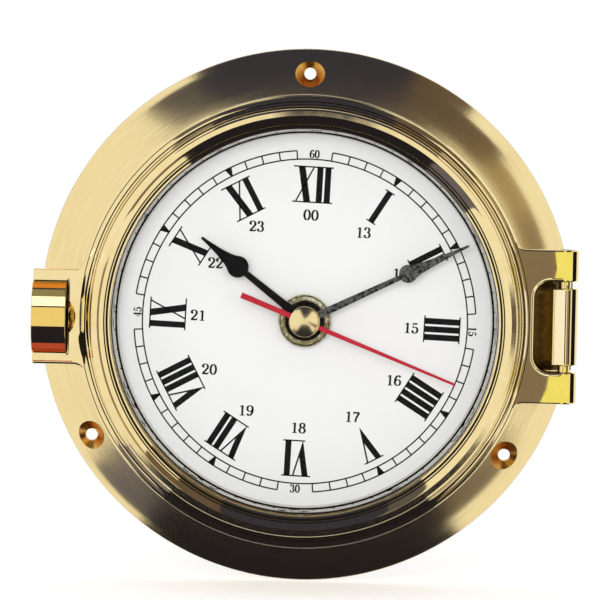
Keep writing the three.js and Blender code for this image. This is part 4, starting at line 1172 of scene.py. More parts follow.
@dataclass
class Dial(Assembly):
    """The white dial, its print and the flared ring above it."""

    turn: float = 2.2  # how far the print is turned clockwise on the case, in degrees
    middle: Point = (0.0, -0.3)  # middle of the print on the face
    ink: float = 0.03  # thickness of the print
    numeral_foot: float = 26.3  # radius where the Roman numerals start
    numeral_height: float = 8.1  # their height
    stem: float = 1.34  # width of a thick stroke
    hair: float = 0.36  # width of a thin stroke
    serif: float = 0.3  # thickness of the bars over and under a numeral
    overhang: float = 0.5  # how far the bars pass the strokes
    letter_gap: float = 0.44  # space between letters
    vee: float = 3.6  # width of a V
    apex: float = 0.42  # place of its foot, as a share of the width
    cross: float = 4.25  # width of an X
    day_circle: float = 23.6  # radius of the 24-hour numerals
    day_height: float = 2.4  # their height
    day_width: float = 1.2  # how much wider they are than the minute numerals
    track: Point = (35.95, 37.8)  # inner and outer radius of the minute track
    track_line: float = 0.3  # width of its lines
    wedge: Point = (0.22, 0.8)  # half width of the five-minute marks at their foot and at their top
    minute_circle: float = 37.1  # radius of the minute numerals
    minute_height: float = 1.85  # their height
    digit_nib: Point = (0.075, 0.2)  # thin and thick width of a digit, as shares of its height
    digit_step: float = 0.6  # advance of a digit, as a share of its height
    bush_hole: float = 4.15  # radius of the hole for the threaded bush
    edge: float = 0.12  # bevel of the dial's edge
    # How far the flared ring's inner edge lies inside its outer one, at the foot and at the top.
    flare: Point = (4.1, 2.6)

    def on_dial(self, clockwise: float, u: float, v: float) -> Point:
        """Place a point of a numeral that stands with its foot to the centre.

        Args:
            clockwise: angle from twelve, in degrees.
            u: distance to the numeral's right.
            v: distance from the centre.

        Returns:
            The point on the face.
        """
        a = math.radians(clockwise + self.turn)
        x, y = self.middle
        return x + v * math.sin(a) + u * math.cos(a), y + v * math.cos(a) - u * math.sin(a)

    def strokes_of(self, letter: str) -> tuple[float, list[tuple[Point, Point, Point, Point]]]:
        """Width and strokes of a Roman letter.

        Args:
            letter: I, V or X.

        Returns:
            The width, and each stroke by its corners: foot left, foot right, top right, top left.
        """
        tall = self.numeral_height
        if letter == "I":
            return self.stem, [((0, 0), (self.stem, 0), (self.stem, tall), (0, tall))]
        if letter == "V":
            apex = self.apex * self.vee
            share = (self.vee - self.hair - self.stem) / self.vee
            inner = (self.stem + apex * share, tall * (1 - share))
            thick = ((apex, 0), inner, (self.stem, tall), (0, tall))
            thin = ((apex, 0), (self.vee, tall), (self.vee - self.hair, tall), inner)
            return self.vee, [thick, thin]
        step = self.stem * 1.12
        start = 0.12 * self.cross
        foot = start + 0.36 * self.cross
        thick = ((foot, 0), (foot + step, 0), (start + step, tall), (start, tall))
        thin = ((0, 0), (self.hair, 0), (self.cross, tall), (self.cross - self.hair, tall))
        return self.cross, [thick, thin]

    def roman(self, ink: Ink, text: str, clockwise: float) -> None:
        """Print a Roman numeral with its foot to the centre.

        Args:
            ink: where it is printed.
            text: its letters.
            clockwise: angle from twelve.
        """
        letters = [self.strokes_of(letter) for letter in text]
        total = sum(width for width, _ in letters) + self.letter_gap * (len(text) - 1)
        x = -total / 2
        for width, strokes in letters:
            for corners in strokes:
                foot_left, foot_right, top_right, top_left = [
                    self.on_dial(clockwise, x + u, self.numeral_foot + v) for u, v in corners
                ]
                ink.strip([foot_left, top_left], [foot_right, top_right])
            x += width + self.letter_gap
        reach = total / 2 + self.overhang
        foot_start = -reach if text[0] != "V" else -total / 2 + self.apex * self.vee - self.overhang
        bars = [(-reach, self.numeral_height - self.serif)]
        if text != "V":
            bars.append((foot_start, 0.0))
        for start, foot in bars:
            low, high = self.numeral_foot + foot, self.numeral_foot + foot + self.serif
            ink.strip(
                [self.on_dial(clockwise, start, low), self.on_dial(clockwise, start, high)],
                [self.on_dial(clockwise, reach, low), self.on_dial(clockwise, reach, high)],
            )

    def figures(
        self, ink: Ink, text: str, centre: Point, height: float, clockwise: float, width: float = 1.0
    ) -> None:
        """Print a small number.

        Args:
            ink: where it is printed.
            text: its digits.
            centre: its middle on the face.
            height: height of the digits.
            clockwise: how far the number is turned from upright.
            width: how far the digits are widened.
        """
        thin, thick = self.digit_nib
        start = -self.digit_step * len(text) / 2
        angle = -clockwise - self.turn
        for i, digit in enumerate(text):
            for stroke in DIGITS[digit]:
                left = start + i * self.digit_step
                local = [((left + x) * height * width, (y - 0.5) * height) for x, y in stroke.path]
                path = turned_loop(local, angle, centre)
                if stroke.weight:
                    widths = [stroke.weight * height] * len(path)
                else:
                    ends = zip(stroke.path[:1] + stroke.path[:-1], stroke.path[1:] + stroke.path[-1:])
                    rises = [abs(b[1] - a[1]) / max(1e-6, math.dist(a, b)) for a, b in ends]
                    widths = [(thin + (thick - thin) * rise**1.5) * height for rise in rises]
                ink.pen(path, widths)

    def minute_track(self, ink: Ink) -> None:
        """Print the minute boxes, the wedges and the quarter numbers.

        Args:
            ink: where they are printed.
        """
        inner, outer = self.track
        half = self.track_line / 2

        def ring(radius: float, first: float, last: float) -> None:
            """Print an arc of the track between two minutes."""
            angles = [first + (last - first) * i / 60 for i in range(61)]
            ink.strip(
                [self.on_dial(a * MINUTE_TURN, 0, radius - half) for a in angles],
                [self.on_dial(a * MINUTE_TURN, 0, radius + half) for a in angles],
            )

        for quarter in range(4):
            ring(inner, quarter * 15, quarter * 15 + 15)
            ring(outer, quarter * 15 + 1, quarter * 15 + 14)
        for minute in range(60):
            if minute % 15 == 0:
                continue
            at = minute * MINUTE_TURN
            foot, top = self.wedge if minute % 5 == 0 else (half, half)
            left, right = (
                [self.on_dial(at, side * width, radius) for width, radius in ((foot, inner), (top, outer))]
                for side in (-1, 1)
            )
            ink.strip(left, right)
        for text, at, facing in (("60", 0, 0), ("15", 90, 90), ("30", 180, 0), ("45", 270, -90)):
            self.figures(ink, text, self.on_dial(at, 0, self.minute_circle), self.minute_height, facing)

    def build(self) -> None:
        """Make the dial, its print, the flared ring and its screws."""
        plate = Extent.of("dial_plate")
        dial = disc("dial_disc", plate.radius, (plate.foot, plate.top), self.edge)
        work(dial, Join.CUT, band("bush_hole", (0.0, self.bush_hole), (22.0, 26.0), sides=96))
        self.fit(dial, Body.CASE, DIAL_ENAMEL, "dial_enamel", "dial_plate")
        heights = (plate.top - 0.01, plate.top + self.ink)
        numerals, day, track = (Ink(*heights) for _ in range(3))
        for hour, text in enumerate(ROMAN):
            at = hour * HOUR_TURN
            self.roman(numerals, text, at)
            number = f"{hour + 12}" if hour else "00"
            centre = self.on_dial(at, 0, self.day_circle)
            self.figures(day, number, centre, self.day_height, 0, self.day_width)
        self.minute_track(track)
        prints = {"roman_numerals": numerals, "day_numerals": day, "minute_track": track}
        for name, ink in prints.items():
            self.fit(ink.piece(name), Body.CASE, DIAL_INK, "black_paint")
        self.flared_ring()
        for i in (1, 2, 3):
            self.ring_screw(i)

    def flared_ring(self) -> None:
        """Make the polished ring that flares up from the dial's edge."""
        ring = Extent.of("dial_spacer_ring")
        foot_inner, top_inner = (ring.radius - width for width in self.flare)
        start = (foot_inner + 0.1, ring.foot)
        pull = (foot_inner + 0.35, ring.foot + 2.2)
        edge = 0.15
        profile = [
            *curve(start, pull, (top_inner - 0.1, ring.top - 0.1), 12),
            (top_inner + 0.1, ring.top), (ring.radius - edge, ring.top),
            (ring.radius, ring.top - edge), (ring.radius, ring.foot + edge),
            (ring.radius - edge, ring.foot),
        ]
        flared = turned("flared_ring", profile)
        self.fit(flared, Body.CASE, BRIGHT_RING, "bright_ring", "dial_spacer_ring")
        # Painted shade: dark lines on the flared ring that stand in for the shade at its crease and its
        # inner edge.
        lines = [
            ((foot_inner + 0.42, foot_inner + 0.65), (ring.foot + 2.1, ring.foot + 2.4)),
            ((top_inner + 0.02, top_inner + 0.24), (ring.top - 0.1, ring.top + 0.03)),
        ]
        rings = [band("line", *line) for line in lines]
        self.fit(merged("ring_shade_line", *rings), Body.CASE, PAINTED_DARK, "bright_ring")

    def ring_screw(self, number: int) -> None:
        """Make one slotted screw of the flared ring.

        Args:
            number: which of the three.
        """
        node = f"ring_screw_{number}"
        box = Extent.of(node)
        head = box.radius
        shank = 0.7
        under = box.top - 0.8
        profile = [
            (0.0, box.foot), (shank - 0.15, box.foot), (shank, box.foot + 0.2), (shank, under),
            (head, under), *arc((head - 0.3, box.top - 0.3), 0.3, 0, 90, 5), (0.0, box.top),
        ]
        screw = turned(f"slotted_screw_{number}", profile, Spindle((*box.centre, 0.0)), 40)
        slot_plan = turned_loop(rounded_box(head * 2, -0.14, 0.14, 0.02, 2), 40.0 * number, box.centre)
        work(screw, Join.CUT, slab("screw_slot", slot_plan, box.top - 0.32, box.top + 1))
        self.fit(screw, Body.CASE, STEEL, "steel", node)


# Bezel


@dataclass
class Bezel(Assembly):
    """The moulded bezel with its hinge lug, catch lug, glass and rings."""

    skirt: float = 50.0  # outer radius
    skirt_bore: float = 47.4  # inner radius of the skirt
    foot: float = 26.25  # height of the lower face
    land: float = 31.4  # height of the flat land and of the lugs
    edge: float = 0.9  # radius of the upper edges
    crown: Point = (49.3, 0.14)  # outer radius of the crowned land, and how far it stands over the lugs
    land_inner: float = 48.5  # inner radius of the land
    crest: Point = (46.4, 45.4)  # outer and inner radius of the bead's flat top
    bead: float = 45.25  # middle radius of the half-round bead
    bead_radius: float = 1.75  # its radius
    bead_height: float = 35.8  # height of its middle
    lip: float = 42.7  # inner radius over the glass
    lip_foot: float = 35.2  # height under the lip
    glass_bore: float = 44.3  # radius that the glass lies in
    step: float = 30.5  # height of the step over the spigot
    hinge_half: float = 17.0  # half of the hinge lug's height on the face
    hinge_fillet: float = 1.8  # fillet between the hinge lug and the skirt
    ear: float = 2.9  # radius of the ears
    window_half: float = 9.9  # half of the window between the ears
    window_corner: float = 3.5  # corner radius of the window
    window_edge: float = 50.6  # x of the window's inner side
    catch_half: float = 10.5  # half of the catch lug's height on the face
    catch_fillet: float = 2.2  # fillet between the catch lug and the skirt
    catch_end: float = 59.9  # x of its end, counted to the left
    slot_half: float = 8.4  # half of the slot that the knob lies in
    slot_floor: float = 51.9  # x of the slot's floor, counted to the left
    boss: Point = (55.5, 5.7)  # x of the round boss's middle, counted to the left, and its radius
    # First, widest and last angle of each painted shade patch by the catch lug, and its width.
    shade_patches: tuple[tuple[float, float, float, float], ...] = (
        (161.0, 174.0, 177.5, 1.0), (182.0, 185.5, 198.0, 1.4),
    )
    sides: int = 256  # facets round the mouldings
    stem_hole: float = 1.75  # radius of the bore for the thumb screw's stem
    stem_start: float = 46.0  # distance of that bore's inner end
    glass_bevel: float = 0.2  # bevel of the glass

    def lug_root(self, half: float, fillet: float) -> Point:
        """The x of a lug's fillet centre, and the angle at which the fillet meets the skirt."""
        x = math.sqrt((self.skirt + fillet) ** 2 - (half + fillet) ** 2)
        return x, math.degrees(math.atan2(half + fillet, x))

    def hinge_side(self) -> Loop:
        """Upper half of the outline on the hinge side, from the middle of the window to the skirt."""
        root, spread = self.lug_root(self.hinge_half, self.hinge_fillet)
        corner = self.window_corner
        end = HINGE_POINT[0]
        return [
            (self.window_edge, 0.0),
            *arc((self.window_edge + corner, self.window_half - corner), corner, 180, 90, 14),
            (end - 0.8, self.window_half), (end, self.window_half), (end, self.hinge_half),
            (end - 0.8, self.hinge_half),
            *arc((root, self.hinge_half + self.hinge_fillet), self.hinge_fillet, -90, spread - 180, 10),
        ]

    def catch_side(self) -> Loop:
        """Upper half of the outline on the catch side, from the skirt to the middle of the slot."""
        root, spread = self.lug_root(self.catch_half, self.catch_fillet)
        tip = -self.catch_end
        return [
            *arc((-root, self.catch_half + self.catch_fillet), self.catch_fillet, -spread, -90, 10),
            *arc((tip + 0.4, self.catch_half - 0.4), 0.4, 90, 180, 5),
            *arc((tip + 0.25, self.slot_half + 0.25), 0.25, 180, 270, 4),
            *arc((-self.slot_floor - 0.5, self.slot_half - 0.5), 0.5, 90, 0, 4),
            (-self.slot_floor, 0.0),
        ]

    def outline(self) -> Loop:
        """The bezel's whole plan: skirt, hinge lug with its window and catch lug with its slot."""
        _, right = self.lug_root(self.hinge_half, self.hinge_fillet)
        _, left = self.lug_root(self.catch_half, self.catch_fillet)
        skirt = arc((0, 0), self.skirt, right, 180 - left, 110)[1:-1]
        return mirrored_loop(self.hinge_side() + skirt + self.catch_side())

    def moulding(self) -> Loop:
        """The section from the land's inner edge over the bead and down to the skirt's bore."""
        wall = self.bead + self.bead_radius
        inner = self.bead - self.bead_radius
        top = self.land
        groove = self.land_inner
        high = self.bead_height + self.bead_radius
        outer_half = arc((0.0, 0.0), 1.0, 0, 90, 12)
        crown = curve((self.crown[0], top - self.crown[1]), (groove + 0.35, top), (groove, top), 6)
        outer, flat = self.crest
        slope = curve((flat - 0.45, high - 0.16), (flat - 1.15, high - 0.58), (inner, high - 1.25), 10)
        return [
            *crown,
            (groove - 0.05, top - 0.24), (groove - 0.22, top - 0.24), (groove - 0.27, top - 0.02),
            *arc((groove - 0.2, top + 0.58), 0.6, 270, 200, 8)[1:], (wall + 0.74, top + 0.3),
            *arc((wall + 0.42, top + 0.72), 0.24, -60, 160, 12), (wall + 0.17, top + 0.5),
            (wall + 0.02, top + 0.5), (wall, top + 1.3),
            *[(outer + (wall - outer) * x, high - 1.2 + 1.2 * y) for x, y in outer_half],
            (flat, high), (flat - 0.25, high - 0.06),
            *slope,
            (inner - 0.02, self.bead_height - 0.3), (inner - 0.18, self.bead_height - 0.3),
            (inner - 0.22, self.bead_height - 0.12), (self.lip + 0.06, self.bead_height - 0.44),
            (self.lip, self.bead_height - 0.5), (self.lip, self.lip_foot),
            (self.glass_bore, self.lip_foot), (self.glass_bore, self.step),
            (self.skirt_bore, self.step), (self.skirt_bore, self.foot + 0.2),
            (self.skirt_bore + 0.2, self.foot),
        ]

    def ring(self) -> Piece:
        """The bezel's brass, with both lugs."""
        bm = bmesh.new()
        stations = Edges(self.edge, 0.4, 5).stations(self.foot, self.land - self.crown[1])
        outline = self.outline()
        near, far = slab_shell(bm, outline, stations, FACE, [self.edge_share(p) for p in outline])
        rings = [ring_of(bm, circle(radius, self.sides), height) for radius, height in self.moulding()]
        top, bottom = walled(bm, rings)
        bmesh.ops.triangle_fill(bm, edges=far + top, use_beauty=True)
        bmesh.ops.triangle_fill(bm, edges=near + bottom, use_beauty=True)
        ring = object_of("bezel_moulding", bm)
        work(ring, Join.WELD, self.ear_piece(1), self.ear_piece(-1), self.boss_piece())
        reach = self.hinge_half + 2
        pin_bore = band("pin_bore", (0.0, PIN_BORE), (-reach, reach), HINGE_LINE, 48)
        ends = (self.stem_start, self.catch_end)
        stem_bore = band("stem_bore", (0.0, self.stem_hole), ends, LOCK_LINE, 48)
        return work(ring, Join.CUT, pin_bore, stem_bore)

    def ear_piece(self, side: int) -> Piece:
        """One ear of the hinge.

        Args:
            side: 1 for the upper ear, -1 for the lower.

        Returns:
            The ear without its bore.
        """
        near, far = self.window_half + 0.01, self.hinge_half - 0.01
        round_edge = 0.5
        profile = [
            (0.0, near), (self.ear - round_edge, near),
            *arc((self.ear - round_edge, near + round_edge), round_edge, 270, 360, 5),
            *arc((self.ear - round_edge, far - round_edge), round_edge, 0, 90, 5), (0.0, far),
        ]
        placed = [(radius, side * height) for radius, height in profile]
        return turned("ear", placed, HINGE_LINE, 72)

    def edge_share(self, point: Point) -> float:
        """Share of the edge's round that a point of the outline gets.

        Args:
            point: a point of the outline.

        Returns:
            Most at the hinge window; less than none at the slot, whose lips close in on the knob.
        """
        x, y = point
        if x > HINGE_POINT[0] - 0.4:
            return 0.0
        if x > 0 and abs(y) < self.window_half + 0.01:
            return 1.0
        if math.hypot(x, y) < self.skirt + 0.02:
            return 0.25
        if x > 0:
            return 0.45
        if abs(abs(y) - self.slot_half) < 0.02 and x < -self.slot_floor - 0.45:
            return -0.4
        return 0.55 if y < 0.5 - self.catch_half else 0.2

    def groove_shade_lines(self) -> Piece:
        """Painted shade lines in the moulding's grooves: dark rings that stand in for the shade there."""
        inner = self.bead - self.bead_radius
        wall = self.bead + self.bead_radius
        lines = [
            ((self.crown[0] + 0.02, self.crown[0] + 0.2), (self.land - 0.3, self.land - 0.12)),
            ((self.land_inner - 0.32, self.land_inner - 0.05), (self.land - 0.27, self.land - 0.05)),
            ((wall + 0.68, wall + 0.82), (self.land + 0.2, self.land + 0.36)),
            ((wall + 0.03, wall + 0.27), (self.land + 0.46, self.land + 0.64)),
            ((inner + 0.22, inner + 0.52), (self.bead_height + 0.5, self.bead_height + 0.93)),
            ((inner - 0.45, inner - 0.03), (self.bead_height - 0.4, self.bead_height - 0.12)),
        ]
        rings = [band("line", *line, sides=self.sides) for line in lines]
        return merged("groove_shade_lines", *rings, self.root_shade_patches())

    def root_shade_patches(self) -> Piece:
        """Painted shade where the ring rises from the catch lug: thin dark slabs on the land that stand in
        for shade.
        """
        bm = bmesh.new()
        near = self.land_inner - 0.05
        low, brink, top = self.land - 0.3, self.land - self.crown[1] + 0.03, self.land + 0.02
        steps = 32
        for first, widest, last, width in self.shade_patches:
            sections = []
            for i in range(steps + 1):
                angle = first + (last - first) * i / steps
                share = min((angle - first) / (widest - first), (last - angle) / (last - widest))
                far = near + 0.02 + width * math.sin(share * math.pi / 2) ** 1.5
                corners = [(near, top), (far, brink), (far, low), (near, low)]
                sections.append([bm.verts.new(FACE.place(*polar(r, angle), h)) for r, h in corners])
            bar(bm, sections)
        return object_of("root_shade_patches", bm)

    def boss_piece(self) -> Piece:
        """The round boss that the thumb screw's stem passes through."""
        middle, radius = self.boss
        opening = math.degrees(math.acos((middle - self.slot_floor) / radius))
        angles = [math.radians(a) for a in range(0, int(opening), 3)]
        dome = [(radius * math.sin(a), middle - radius * math.cos(a)) for a in angles]
        face, floor = radius * math.sin(math.radians(opening)), self.slot_floor
        profile = [*dome, (face - 0.1, floor - 0.1), (face - 0.15, floor), (0.0, floor)]
        return turned("boss", profile, LOCK_LINE, 96)

    def flat_ring(self, name: str, node: str, inner: float, edge: float) -> Piece:
        """A flat ring in the glass bore.

        Args:
            name: name of the piece.
            node: solid that gives its place.
            inner: its inner radius.
            edge: radius of its edges.

        Returns:
            The ring.
        """
        box = Extent.of(node)
        near, far = inner + edge, box.radius - edge
        foot, top = box.foot + edge, box.top - edge
        corners = [(near, foot, 180), (far, foot, 270), (far, top, 0), (near, top, 90)]
        return turned(name, [p for r, h, start in corners for p in arc((r, h), edge, start, start + 90, 3)])

    def build(self) -> None:
        """Make the bezel, the glass and the rings that hold it."""
        self.fit(self.ring(), Body.BEZEL, POLISHED_BRASS, "polished_brass", "bezel_ring", level=True)
        # Painted shade: dark lines in the grooves and dark patches by the catch lug.
        self.fit(self.groove_shade_lines(), Body.BEZEL, PAINTED_DARK, "polished_brass")
        box = Extent.of("glass")
        pane = disc("glass_pane", box.radius, (box.foot, box.top), self.glass_bevel)
        self.fit(pane, Body.BEZEL, CLEAR_GLASS, "clear_glass", "glass")
        pane.visible_shadow = False
        pane.visible_diffuse = False
        gasket = self.flat_ring("rubber_gasket", "glass_gasket", self.lip, 0.12)
        self.fit(gasket, Body.BEZEL, BLACK_RUBBER, "black_rubber", "glass_gasket")
        keeper = self.flat_ring("glass_keeper", "glass_retaining_ring", self.lip + 0.1, 0.15)
        self.fit(keeper, Body.BEZEL, PLAIN_BRASS, "plain_brass", "glass_retaining_ring")


@dataclass
class ThumbScrew(Assembly):
    """The thumb screw that locks the bezel."""

    knob: float = 8.25  # radius of the knob
    knob_foot: float = 52.3  # distance of its inner face from the clock's centre
    knob_end: float = 59.9  # distance of its outer face
    edge: float = 0.18  # radius of the knob's edges
    stem: float = 1.6  # radius of the stem
    thread: float = 0.14  # depth of the stem's thread
    pitch: float = 0.5  # distance between its turns
    tip: float = 48.25  # distance of the stem's tip

    def build(self) -> None:
        """Make the knob with its stem, and the swivel pad."""
        profile = [(0.0, self.tip), (self.stem - 0.3, self.tip), (self.stem - self.thread, self.tip + 0.3)]
        height = self.tip + 0.5
        while height < self.knob_foot - 0.5:
            profile += [(self.stem, height), (self.stem - self.thread, height + self.pitch / 2)]
            height += self.pitch
        inner, outer = self.knob_foot + self.edge, self.knob_end - self.edge
        rim = self.knob - self.edge
        profile += [
            (self.stem, self.knob_foot), *arc((rim, inner), self.edge, 270, 360, 6),
            *arc((rim, outer), self.edge, 0, 90, 6), (self.knob * 0.62, self.knob_end),
            (self.knob * 0.6, self.knob_end - 0.12), (self.knob * 0.56, self.knob_end - 0.12),
            (self.knob * 0.54, self.knob_end), (0.0, self.knob_end),
        ]
        knob = turned("thumb_knob", profile, LOCK_LINE, 128)
        self.fit(knob, Body.LOCK_KNOB, TURNED_BRASS, "polished_brass", "lock_screw")
        # Painted shade: the knob's inner face gets the near-black finish, standing in for the shadow in the
        # gap by the catch lug.
        knob.data.materials.append(PAINTED_DARK.material())
        for face in knob.data.polygons:
            if abs(face.center.x / MM + self.knob_foot) < 0.01:
                face.material_index = 1
        box = Extent.of("lock_screw_pad")
        near, far, radius = -box.right, -box.left, box.radius
        pad = [
            (0.0, near), (radius - 0.2, near), (radius, near + 0.2), (radius, far - 0.15),
            (radius - 0.15, far), (0.0, far),
        ]
        swivel = turned("swivel_pad", pad, LOCK_LINE, 48)
        self.fit(swivel, Body.LOCK_TIP, PLAIN_BRASS, "plain_brass", "lock_screw_pad")


# Hands


@dataclass(frozen=True)
class SpadeHand(Assembly):
    """A spade hand along its own length."""

    node: str  # solid that it stands for
    body: Body  # body that it rides on
    finish: Finish  # its paint
    angle: float  # rest angle, counted from x towards y
    length: float  # reach of the tip
    spade: float  # distance of the spade's middle
    spade_radius: float  # radius of the spade
    stem: Point  # width of the stem at the hub and at the spade
    neck: Point  # distance past the spade's middle, and half width, that the taper looks to
    tip: float  # half width at the tip
    hub: float  # radius of the hub
    bore: float  # radius of its hole

    def outline(self) -> Loop:
        """The plan of the hand, pointing along x."""
        half_hub, half_end = self.stem[0] / 2, self.stem[1] / 2
        hub_angle = math.degrees(math.asin(half_hub / self.hub))
        root = math.degrees(math.asin(half_end / self.spade_radius))
        lobe = arc((self.spade, 0), self.spade_radius, 180 - root, 52, 26)
        pull = (self.spade + self.neck[0], self.neck[1])
        taper = curve(lobe[-1], pull, (self.length - self.tip, self.tip), 16)
        upper = [
            *arc((0, 0), self.hub, 180, hub_angle, 24),
            (self.spade - self.spade_radius - 1.0, half_end),
            *lobe,
            *taper[1:],
            *arc((self.length - self.tip, 0), self.tip, 90, 0, 4)[1:],
        ]
        return mirrored_loop(upper)

    def build(self) -> None:
        """Make the hand."""
        box = Extent.of(self.node)
        plan = turned_loop(self.outline(), self.angle)
        edges = Edges(0.12, 0.05, 3)
        hand = slab(self.node + "_spade", plan, box.foot, box.top, edges, [circle(self.bore)])
        self.fit(hand, self.body, self.finish, "black_paint", self.node)


@dataclass
class Hands(Assembly):
    """The three hands with their cap."""

    # The hour hand.
    hour: SpadeHand = SpadeHand(
        "hour_hand", Body.HOURS, BLACK_PAINT, angle=142.1, length=29.3, spade=19.0, spade_radius=2.4,
        stem=(1.85, 1.4), neck=(3.4, 0.8), tip=0.3, hub=4.2, bore=2.38,
    )
    # The minute hand.
    minute: SpadeHand = SpadeHand(
        "minute_hand", Body.MINUTES, GREY_PAINT, angle=25.9, length=39.9, spade=25.1, spade_radius=2.0,
        stem=(1.7, 1.15), neck=(3.2, 0.85), tip=0.25, hub=3.3, bore=1.68,
    )
    second_angle: float = -21.6  # rest angle of the second hand
    second_reach: float = 36.0  # length of its point
    second_tail: float = 15.1  # length of its tail
    second_width: Point = (0.55, 1.3)  # width at the tip and at the tail's end
    second_hub: float = 1.9  # radius of its hub
    second_bore: float = 0.68  # radius of its hole
    cap: float = 3.4  # radius of the cap
    cap_edge: float = 0.3  # radius of the cap's edge
    cap_slope: float = 10.5  # slope of the cap's low dome at its edge, in degrees
    dome_steps: int = 12  # chords on that dome

    def build(self) -> None:
        """Make the hands and the cap."""
        self.hour.build()
        self.minute.build()
        box = Extent.of("second_hand")
        tip, tail = (width / 2 for width in self.second_width)
        here = tip + (tail - tip) * self.second_reach / (self.second_reach + self.second_tail)
        swell = math.degrees(math.asin(here / self.second_hub))
        upper = [
            (-self.second_tail, tail), *arc((0, 0), self.second_hub, 180 - swell, swell, 16),
            (self.second_reach, tip),
        ]
        plan = turned_loop(mirrored_loop(upper), self.second_angle)
        bore = circle(self.second_bore)
        red = slab("second_hand_needle", plan, box.foot, box.top, Edges(0.1, 0.04, 3), [bore])
        self.fit(red, Body.SECONDS, RED_PAINT, "red_paint", "second_hand")
        lid = Extent.of("second_hand_cap")
        slope = math.radians(self.cap_slope)
        flat = self.cap - self.cap_edge * (1 - math.sin(slope))
        rise = flat * math.tan(slope) / 2
        middle = lid.top - rise - self.cap_edge * math.cos(slope)
        shares = [i / self.dome_steps for i in reversed(range(self.dome_steps))]
        profile = [
            (0.0, lid.foot), (self.cap - 0.1, lid.foot), (self.cap, lid.foot + 0.1),
            *arc((self.cap - self.cap_edge, middle), self.cap_edge, 0, 90 - self.cap_slope, 5),
            *[(flat * share, lid.top - rise * share**2) for share in shares],
        ]
        cap = turned("spun_cap", profile, sides=96)
        self.fit(cap, Body.SECONDS, SPUN_CAP_BRASS, "polished_brass", "second_hand_cap")


# Movement


